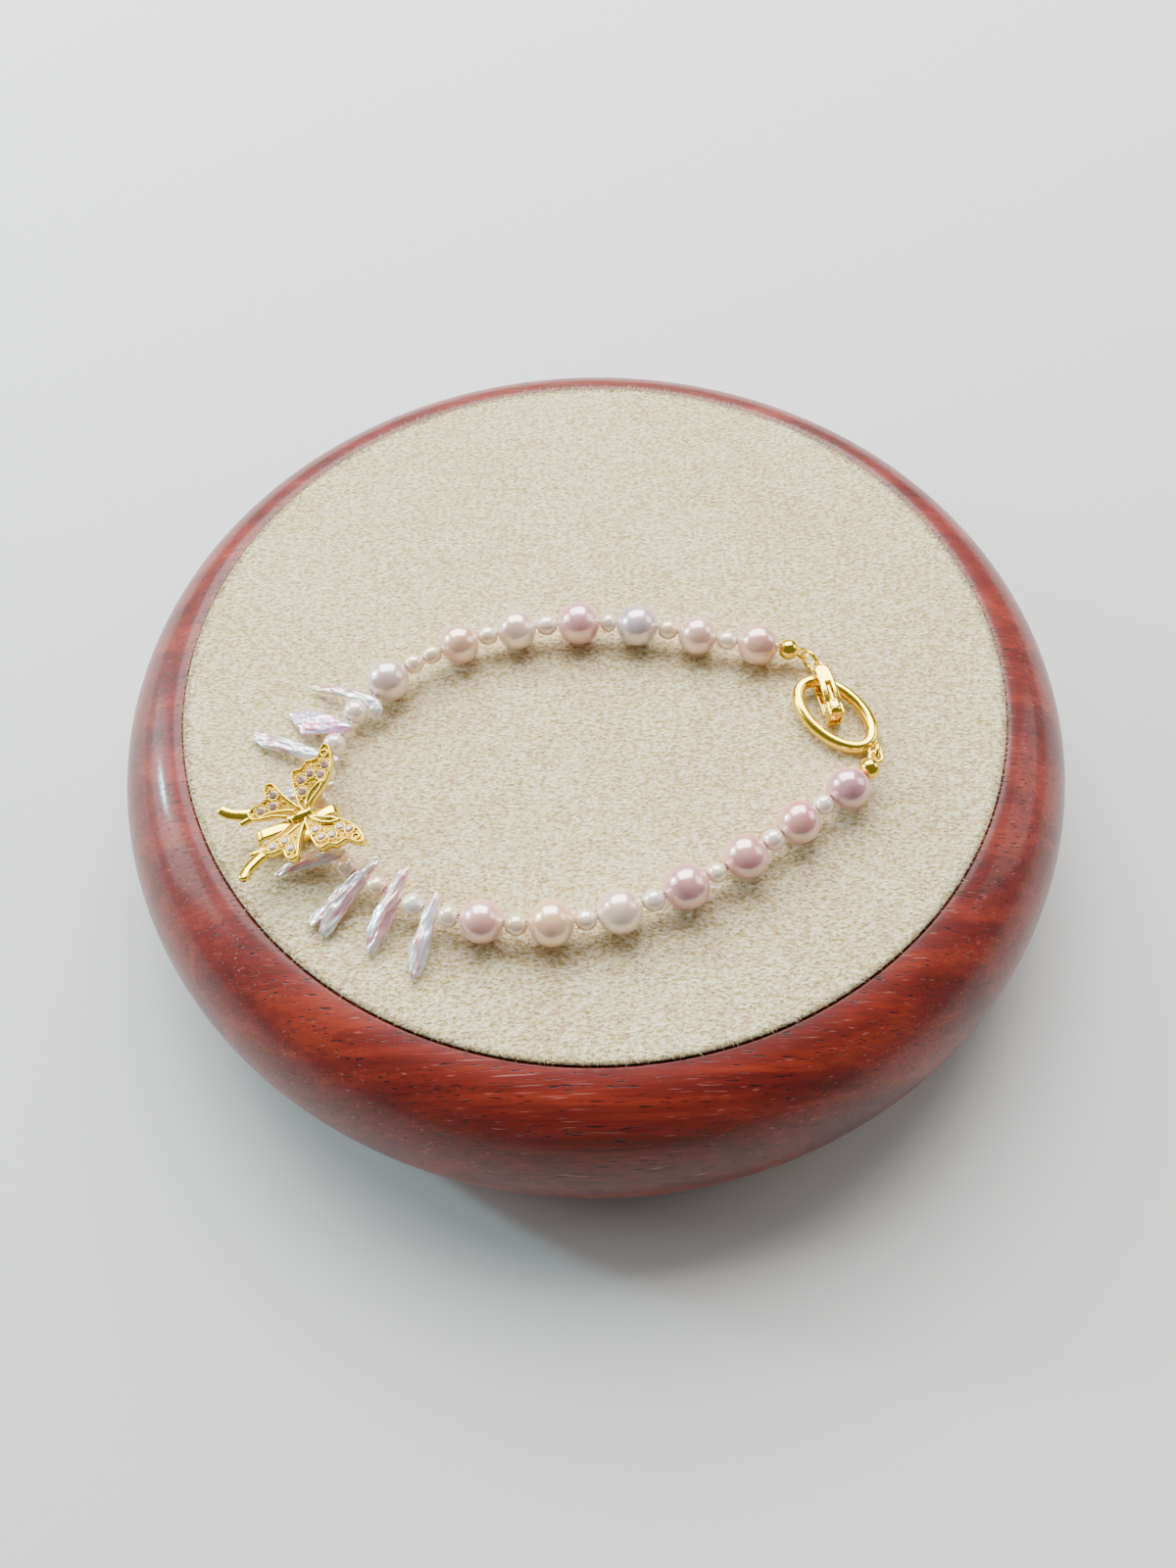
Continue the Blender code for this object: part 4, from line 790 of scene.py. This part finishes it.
def inside(spot, outline):
    """Whether a point is within an outline."""
    within = False
    for a, b in zip(outline, outline[1:] + outline[:1]):
        if (a.y > spot.y) != (b.y > spot.y):
            if spot.x < (b.x - a.x) * (spot.y - a.y) / (b.y - a.y) + a.x:
                within = not within
    return within


def wing_gold(mesh):
    """The left pair of wings with all that is cast or soldered on it."""
    tray(mesh, FOREWING, WING_SECTION)
    tray(mesh, HINDWING, WING_SECTION)
    strip(mesh, TAIL, 0.68, 0.43, 0.9)
    strip(mesh, PRONG, 0.38, 0.38, 0.9)
    tray(mesh, LEAF, LEAF_SECTION)
    strip(mesh, VEIN, 0.17, 0.14, 0.5, FLOOR_HEIGHT + 0.06)
    for spot in STONES:
        torus(mesh, (*spot, FLOOR_HEIGHT + 0.13), STONE_RADIUS - 0.01, SEAT_WIRE, 20, 6)
    torus(mesh, (*OPEN_SEAT, FLOOR_HEIGHT + 0.18), 0.40, 0.2)
    torus(mesh, (OPEN_SEAT[0] - 0.45, OPEN_SEAT[1] - 0.62, FLOOR_HEIGHT + 0.1), 0.22, SEAT_WIRE, 16, 8)
    for spot in SMALL_BEADS:
        ball(mesh, (*spot, FLOOR_HEIGHT + 0.1), SMALL_BEAD_RADIUS, 12, 8)
    rims = [inset_outline(smooth_outline(points), RIM_INSET) for points in (FOREWING, HINDWING)]
    reach = STONE_RADIUS + MILGRAIN_OUT
    placed = []
    for centre in STONES:
        others = [Vector(other) for other in STONES if other != centre]
        for step in range(MILGRAIN_COUNT):
            angle = math.tau * step / MILGRAIN_COUNT
            spot = Vector(centre) + Vector((math.cos(angle), math.sin(angle))) * reach
            if not any(inside(spot, rim) for rim in rims):
                continue
            if any((spot - other).length < MILGRAIN_GAP for other in placed):
                continue
            if any((spot - other).length < STONE_RADIUS + STONE_CLEARANCE for other in others):
                continue
            placed.append(spot)
            ball(mesh, (*spot, FLOOR_HEIGHT + 0.15), MILGRAIN_RADIUS)


def wing_grounds(mesh):
    """The finely stippled floor inside each rim, which the stones are set in."""
    tray(mesh, FOREWING, WING_GROUND)
    tray(mesh, HINDWING, WING_GROUND)


def wing_stones(mesh):
    """The stones of the left pair of wings: eight-sided table, crown, girdle and pavilion."""
    for x, y in STONES:
        rings = []
        for row, (radius, height) in enumerate(STONE_RINGS):
            shift = 0.5 if row % 2 else 0.0
            turns = [math.tau * (side + shift) / STONE_SIDES for side in range(STONE_SIDES)]
            rings.append([Vector((
                x + STONE_RADIUS * radius * math.cos(turn),
                y + STONE_RADIUS * radius * math.sin(turn),
                FLOOR_HEIGHT + STONE_LIFT + STONE_RADIUS * height)) for turn in turns])
        loft(mesh, rings)


def turn_about(mesh, axis, angle):
    """Turns a whole mesh about an axis through its origin."""
    bmesh.ops.rotate(
        mesh, verts=mesh.verts, cent=(0.0, 0.0, 0.0), matrix=Matrix.Rotation(angle, 3, axis))


def set_butterfly(mesh):
    """Pitches a piece of the butterfly with its body and sets it in its place."""
    turn_about(mesh, "Y", -math.radians(BODY_PITCH))
    bmesh.ops.translate(mesh, vec=BODY_SPOT, verts=mesh.verts)
    bmesh.ops.transform(mesh, matrix=set_at(*BUTTERFLY_SPOT), verts=mesh.verts)


def both_wings(build):
    """Builds a pair of wings, lifts it to its rise, mirrors it across the body and sets it."""
    mesh = bmesh.new()
    build(mesh)
    turn_about(mesh, "X", math.radians(WING_RISE))
    copy = bmesh.ops.duplicate(mesh, geom=mesh.verts[:] + mesh.edges[:] + mesh.faces[:])["geom"]
    other = [item for item in copy if isinstance(item, bmesh.types.BMVert)]
    bmesh.ops.scale(mesh, vec=(1.0, -1.0, 1.0), verts=other)
    flipped = [item for item in copy if isinstance(item, bmesh.types.BMFace)]
    bmesh.ops.reverse_faces(mesh, faces=flipped)
    set_butterfly(mesh)
    return mesh


# Polished brass under bright gold plate: the eye sees a strong yellow mirror, broken up a little
# by the polishing mop and by handling.
gold, tree = start_material("polished_gold_plate")
place = add_node(tree, "TexCoord").outputs["Object"]
wear = add_node(tree, "TexNoise", {"Vector": place, "Scale": 700.0, "Detail": 3.0})
shine = add_node(tree, "MapRange", {0: wear.outputs[0], 1: 0.3, 2: 0.7, 3: 0.10, 4: 0.19})
hand = add_node(tree, "TexNoise", {"Vector": place, "Scale": 1500.0, "Detail": 1.0})
soft = add_node(tree, "Bump", {
    "Height": hand.outputs[0], "Strength": 0.10, "Distance": 0.00006})
surface(tree, {
    "Base Color": linear("#FFDC4C"), "Metallic": 1.0, "Roughness": shine.outputs[0],
    "Normal": soft.outputs[0]})

# The same plate where the casting was left unpolished: a stippled satin floor. Its colour is
# painted darker and browner than the rims', as painted shade in the recessed floor, and the
# stipple's pits are painted darker still. The stipple is 0.3 mm, drawn coarser than the real one.
shaded_satin_gold, tree = start_material("satin_gold_plate_painted_shade")
place = add_node(tree, "TexCoord").outputs["Object"]
stipple = add_node(tree, "TexNoise", {"Vector": place, "Scale": 3200.0, "Detail": 2.0})
stippled = add_node(tree, "Bump", {
    "Height": stipple.outputs[0], "Strength": 0.5, "Distance": 0.0001})
# Painted shade: the stipple's pits are painted darker than its tops.
depth = add_node(tree, "ValToRGB", {0: stipple.outputs[0]}, stops=[
    (0.35, "#8E6A12"), (0.65, "#BE9630")])
surface(tree, {
    "Base Color": depth.outputs[0], "Metallic": 1.0, "Roughness": 0.38, "Normal": stippled.outputs[0]})

piece_from(
    both_wings(wing_gold), "butterfly_wings", gold, "bracelet_on_stand", "gold_plate", "butterfly")
piece_from(
    both_wings(wing_grounds), "butterfly_wing_grounds", shaded_satin_gold, "bracelet_on_stand", "gold_plate",
    smooth=False)

# Cut and polished lilac crystal over foil: each facet gives the eye one flat clear flash on a
# mauve-brown ground.
crystal, tree = start_material("cut_lilac_crystal")
place = add_node(tree, "TexCoord").outputs["Object"]
cut = add_node(tree, "TexNoise", {"Vector": place, "Scale": 900.0})
hue = add_node(tree, "ValToRGB", {0: cut.outputs[0]}, stops=[
    (0.35, "#7A5A50"), (0.65, "#A88474")])
surface(tree, {
    "Base Color": hue.outputs[0], "Metallic": 0.1, "Roughness": 0.14, "IOR": 1.7,
    "Coat Weight": 0.6, "Coat Roughness": 0.03, "Coat IOR": 1.6})
piece_from(
    both_wings(wing_stones), "butterfly_stones", crystal, "bracelet_on_stand", "gold_plate",
    smooth=False)

# Butterfly's body and clip band: a barrel body in two parts, waisted where the wings meet it,
# on a long rounded band of flat wire whose ends show past the wings.
BODY_LIFT = 0.18
BODY_SCALE = (1.08, 1.18, 1.18)
BODY_PROFILE = [
    # radius, place along from the tail end
    (0.0, -1.42), (0.30, -1.41), (0.50, -1.35), (0.59, -1.22), (0.60, -1.04), (0.53, -0.93),
    (0.45, -0.88), (0.50, -0.80), (0.56, -0.60), (0.60, -0.10), (0.60, 0.40), (0.56, 0.80),
    (0.50, 0.95), (0.54, 1.02), (0.61, 1.10), (0.61, 1.25), (0.52, 1.36), (0.30, 1.41), (0.0, 1.42)]
body = lathe(BODY_PROFILE, 40, axis=(1.0, 0.0, 0.0))
bmesh.ops.scale(body, vec=BODY_SCALE, verts=body.verts)
bmesh.ops.translate(body, vec=(0.0, 0.0, BODY_LIFT), verts=body.verts)
set_butterfly(body)
piece_from(body, "butterfly_body", gold, "bracelet_on_stand", "gold_plate")

BAND_MIDDLE = -2.8
BAND_HALF_LENGTH = 5.0
BAND_LOW = -2.15
BAND_HIGH = 1.805
BAND_PLATE = 0.5
BAND_HALF_WIDTH = 0.7
BAND_CORNER = 1.1
band_mid = (BAND_LOW + BAND_HIGH) * 0.5
corner = BAND_CORNER - BAND_PLATE * 0.5
half_long = BAND_HALF_LENGTH - BAND_PLATE * 0.5
half_tall = (BAND_HIGH - BAND_LOW - BAND_PLATE) * 0.5
band_rows = []
for quarter, (sx, sy) in enumerate(((1, 1), (-1, 1), (-1, -1), (1, -1))):
    for step in range(9):
        angle = math.pi * 0.5 * (quarter + step / 8.0)
        band_rows.append((
            BAND_MIDDLE + sx * (half_long - corner) + corner * math.cos(angle),
            sy * (half_tall - corner) + corner * math.sin(angle), 0.0,
            BAND_PLATE * 0.5, BAND_HALF_WIDTH))
band = bmesh.new()
loft(band, sections_along(band_rows, 20, 4.0, closed=True), closed=True)
turn_about(band, "X", math.pi * 0.5)
bmesh.ops.translate(band, vec=(0.0, 0.0, band_mid), verts=band.verts)
bmesh.ops.transform(band, matrix=set_at(*BUTTERFLY_SPOT), verts=band.verts)
piece_from(band, "butterfly_clip_band", gold, "bracelet_on_stand", "gold_plate")

# End balls and link rings: a polished gold-plated ball closes each end of the strand over its
# knot, with a soldered wire eye that a round wire ring joins to the clasp.
BALL_RADIUS = 1.3
BALL_DRILL_DEPTH = 1.5
EYE_RADIUS = 0.74
EYE_WIRE = 0.45
LINK_RADIUS = 1.38
LINK_WIRE = 0.5
SOLDER_DEPTH = 0.1125
BALL_STEPS = 32
BALL_MOUTH_ROUND = 0.05
BALLS = {
    # x, y, z in mm, dip and heading in degrees
    "end_ball_a": (24.86, 0.12, 28.85, -17.2, 172.0),
    "end_ball_b": (32.40, -18.09, 29.23, -0.8, -122.0),
}
LINKS = {
    # x, y, z in mm, dip, heading and roll in degrees
    "jump_ring_a": (27.48, -1.26, 28.28, 0.0, 125.0, 90.0),
    "jump_ring_b": (33.67, -15.46, 28.28, -42.0, -104.0, 90.0),
}
for name, spot in BALLS.items():
    mouth = math.asin((DRILL_RADIUS + BALL_MOUTH_ROUND) / BALL_RADIUS)
    profile = [(0.0, -BALL_RADIUS)]
    for step in range(1, BALL_STEPS + 1):
        angle = (math.pi - mouth) * step / BALL_STEPS
        profile.append((BALL_RADIUS * math.sin(angle), -BALL_RADIUS * math.cos(angle)))
    drill_end = BALL_RADIUS - BALL_DRILL_DEPTH
    profile += [
        (DRILL_RADIUS, BALL_RADIUS * math.cos(mouth) - 0.03), (DRILL_RADIUS, drill_end),
        (0.0, drill_end)]
    mesh = lathe(profile, 48, axis=(1.0, 0.0, 0.0))
    torus(mesh, (-(BALL_RADIUS + EYE_RADIUS - SOLDER_DEPTH), 0.0, 0.0), EYE_RADIUS, EYE_WIRE, 40, 14)
    bmesh.ops.transform(mesh, matrix=set_at(*spot), verts=mesh.verts)
    piece_from(
        mesh, name.replace("end_ball", "knot_ball"), gold, "bracelet_on_stand", "gold_plate", name)
for name, spot in LINKS.items():
    mesh = bmesh.new()
    torus(mesh, (0.0, 0.0, 0.0), LINK_RADIUS, LINK_WIRE, 56, 16)
    bmesh.ops.transform(mesh, matrix=set_at(*spot), verts=mesh.verts)
    piece_from(mesh, name.replace("jump", "link"), gold, "bracelet_on_stand", "gold_plate", name)

# Oval ring of the clasp: one closed oval of thick polished gold-plated wire with a small
# soldered lug. Its far side is tipped up over the clip that closes round it.
# x, y, z in mm, dip and heading in degrees
OVAL_SPOT = (29.70, -9.20, 27.83, 4.0, -51.3)
OVAL_HALF_LONG = 5.5
OVAL_HALF_SHORT = 3.33
OVAL_HALF_WIDTH = 0.75
OVAL_HALF_HEIGHT = 0.75
OVAL_STEPS = 112
LUG_SPOT = OVAL_HALF_LONG + OVAL_HALF_WIDTH + EYE_RADIUS - LINK_WIRE * 0.25
oval_rows = []
for step in range(OVAL_STEPS):
    angle = math.tau * step / OVAL_STEPS
    oval_rows.append((
        OVAL_HALF_LONG * math.cos(angle), OVAL_HALF_SHORT * math.sin(angle), 0.0,
        OVAL_HALF_WIDTH, OVAL_HALF_HEIGHT))
oval = bmesh.new()
loft(oval, sections_along(oval_rows, 28, 2.3, closed=True), closed=True)
torus(oval, (LUG_SPOT, 0.0, 0.0), EYE_RADIUS, LINK_WIRE, 40, 14)
bmesh.ops.transform(oval, matrix=set_at(*OVAL_SPOT), verts=oval.verts)
piece_from(oval, "clasp_oval", gold, "bracelet_on_stand", "gold_plate", "oval_ring")

# Clip, lower half: a flat gold-plated strip under the oval's wire with two ears that hold the
# hinge pin, a post at the far end that the lever snaps over, and an eye for the link ring.
# x, y, z of the hinge pin in mm, dip and heading in degrees
CLIP_SPOT = (29.497, -9.3626, 28.905, 0.0, 100.0)
CLIP_HALF_WIDTH = 0.95
CLIP_BACK = -0.9
CLIP_END = 6.448
STRIP_LOW = -2.255
STRIP_HIGH = -1.755
EAR_TOP = 0.6
EAR_WIDTH = 0.3
POST_START = 5.918
POST_END = 6.418
POST_TOP = 0.10
POST_HALF_WIDTH = 0.65
OVERLAP = 0.05
PIN_RADIUS = 0.3
PIN_LENGTH = 1.96
CLIP_EYE_HEIGHT = -0.625


def block(mesh, low, high, round_off):
    """A machined block between two corners, with softened edges."""
    made = bmesh.ops.create_cube(mesh, size=1.0)["verts"]
    size = Vector(high) - Vector(low)
    bmesh.ops.scale(mesh, vec=size, verts=made)
    bmesh.ops.translate(mesh, vec=(Vector(low) + Vector(high)) * 0.5, verts=made)
    edges = list({edge for vert in made for edge in vert.link_edges})
    bmesh.ops.bevel(
        mesh, geom=edges, offset=round_off, offset_type="OFFSET", segments=3, profile=0.5,
        affect="EDGES", clamp_overlap=True, material=-1)


frame_mesh = bmesh.new()
block(
    frame_mesh, (CLIP_BACK, -CLIP_HALF_WIDTH, STRIP_LOW), (CLIP_END, CLIP_HALF_WIDTH, STRIP_HIGH), 0.14)
for low_side in (CLIP_HALF_WIDTH - EAR_WIDTH, -CLIP_HALF_WIDTH):
    block(
        frame_mesh, (CLIP_BACK, low_side, STRIP_LOW + OVERLAP),
        (EAR_TOP, low_side + EAR_WIDTH, EAR_TOP), 0.1)
block(
    frame_mesh, (POST_START, -POST_HALF_WIDTH, STRIP_LOW + OVERLAP),
    (POST_END, POST_HALF_WIDTH, POST_TOP), 0.1)
pin = bmesh.ops.create_cone(
    frame_mesh, cap_ends=True, segments=24, radius1=PIN_RADIUS, radius2=PIN_RADIUS, depth=PIN_LENGTH)
bmesh.ops.rotate(
    frame_mesh, verts=pin["verts"], cent=(0.0, 0.0, 0.0), matrix=Matrix.Rotation(math.pi * 0.5, 3, "X"))
torus(
    frame_mesh, (CLIP_END + EYE_RADIUS - SOLDER_DEPTH, 0.0, CLIP_EYE_HEIGHT), EYE_RADIUS, EYE_WIRE,
    40, 14)
bmesh.ops.transform(frame_mesh, matrix=set_at(*CLIP_SPOT), verts=frame_mesh.verts)
piece_from(frame_mesh, "clasp_clip_frame", gold, "bracelet_on_stand", "gold_plate", "clasp_frame")

# Clip, lever: the arched upper half, polished and gold plated, that folds over the oval's wire
# and snaps on the post. Its slotted back narrows to the tip, and its knuckle turns on the pin.
LEVER_LOW = 0.25
LEVER_START = 1.05
LEVER_PLATE = 0.56
LEVER_ARCH = 0.36
LEVER_HALF_WIDTH = 1.06
LEVER_TAPER = 0.12
LEVER_STEPS = 24
TIP_START = 0.86
TIP_SHARE = 0.17
TONGUE_HALF = 0.5
TONGUE_END = 1.3
KNUCKLE_BORE = 0.45
KNUCKLE_RADIUS = 0.75
KNUCKLE_ROUND = 0.06
SLOT_LIFT = 0.55
SLOT_START = 1.2
SLOT_END = 3.3
SLOT_HALF = 0.42
SLOT_DEPTH = 0.9


def carved(solid, tool):
    """Cuts one closed solid out of another."""
    pair = []
    for label, mesh in (("solid", solid), ("tool", tool)):
        bmesh.ops.triangulate(mesh, faces=mesh.faces)
        data = bpy.data.meshes.new(label)
        mesh.to_mesh(data)
        mesh.free()
        pair.append(bpy.data.objects.new(label, data))
        bpy.context.scene.collection.objects.link(pair[-1])
    cut = pair[0].modifiers.new("cut", "BOOLEAN")
    cut.operation = "DIFFERENCE"
    cut.solver = "EXACT"
    cut.object = pair[1]
    bpy.context.view_layer.update()
    result = bmesh.new()
    result.from_mesh(pair[0].evaluated_get(bpy.context.evaluated_depsgraph_get()).data)
    for item in pair:
        data = item.data
        bpy.data.objects.remove(item)
        bpy.data.meshes.remove(data)
    return result


lever = bmesh.new()
lever_rows = []
for step in range(LEVER_STEPS + 1):
    share = step / LEVER_STEPS
    swell = LEVER_ARCH * math.sin(math.pi * share)
    half = LEVER_HALF_WIDTH * (1.0 - LEVER_TAPER * share)
    if share > TIP_START:
        half *= math.sqrt(1.0 - ((share - TIP_START) / TIP_SHARE) ** 2)
    lever_rows.append((
        LEVER_START + (CLIP_END - LEVER_START) * share, 0.0,
        LEVER_LOW + swell + LEVER_PLATE * 0.5, half, LEVER_PLATE * 0.5))
loft(lever, sections_along(lever_rows, 36, 4.0))
slot_tool = bmesh.new()
slot_height = LEVER_LOW + SLOT_LIFT
slot_rows = [
    (SLOT_START + (SLOT_END - SLOT_START) * step / 10, 0.0, slot_height, SLOT_HALF, SLOT_DEPTH)
    for step in range(11)]
for step in range(1, 6):
    angle = math.pi * 0.5 * step / 5.2
    slot_rows.append((
        SLOT_END + SLOT_HALF * math.sin(angle), 0.0, slot_height, SLOT_HALF * math.cos(angle),
        SLOT_DEPTH))
loft(slot_tool, sections_along(slot_rows, 20, 8.0))
lever = carved(lever, slot_tool)
strip(lever, [(0.9, 0.0), (1.8, 0.0), (SLOT_END - 0.2, 0.0)], 0.2, 0.24, 0.85, LEVER_LOW + 0.42)
block(
    lever, (0.0, -TONGUE_HALF, LEVER_LOW + 0.02),
    (TONGUE_END, TONGUE_HALF, LEVER_LOW + LEVER_PLATE - 0.01), 0.08)
knuckle_edge = KNUCKLE_RADIUS - KNUCKLE_ROUND
knuckle_side = TONGUE_HALF - KNUCKLE_ROUND
knuckle = lathe([
    (KNUCKLE_BORE, -TONGUE_HALF), (KNUCKLE_BORE, TONGUE_HALF), (knuckle_edge, TONGUE_HALF),
    (KNUCKLE_RADIUS, knuckle_side), (KNUCKLE_RADIUS, -knuckle_side), (knuckle_edge, -TONGUE_HALF)],
    36, closed=True)
turn_about(knuckle, "X", math.pi * 0.5)
knuckle_data = bpy.data.meshes.new("knuckle")
knuckle.to_mesh(knuckle_data)
knuckle.free()
lever.from_mesh(knuckle_data)
bpy.data.meshes.remove(knuckle_data)
bmesh.ops.transform(lever, matrix=set_at(*CLIP_SPOT), verts=lever.verts)
piece_from(lever, "clasp_clip_lever", gold, "clasp_lever", "gold_plate", "clasp_lever")
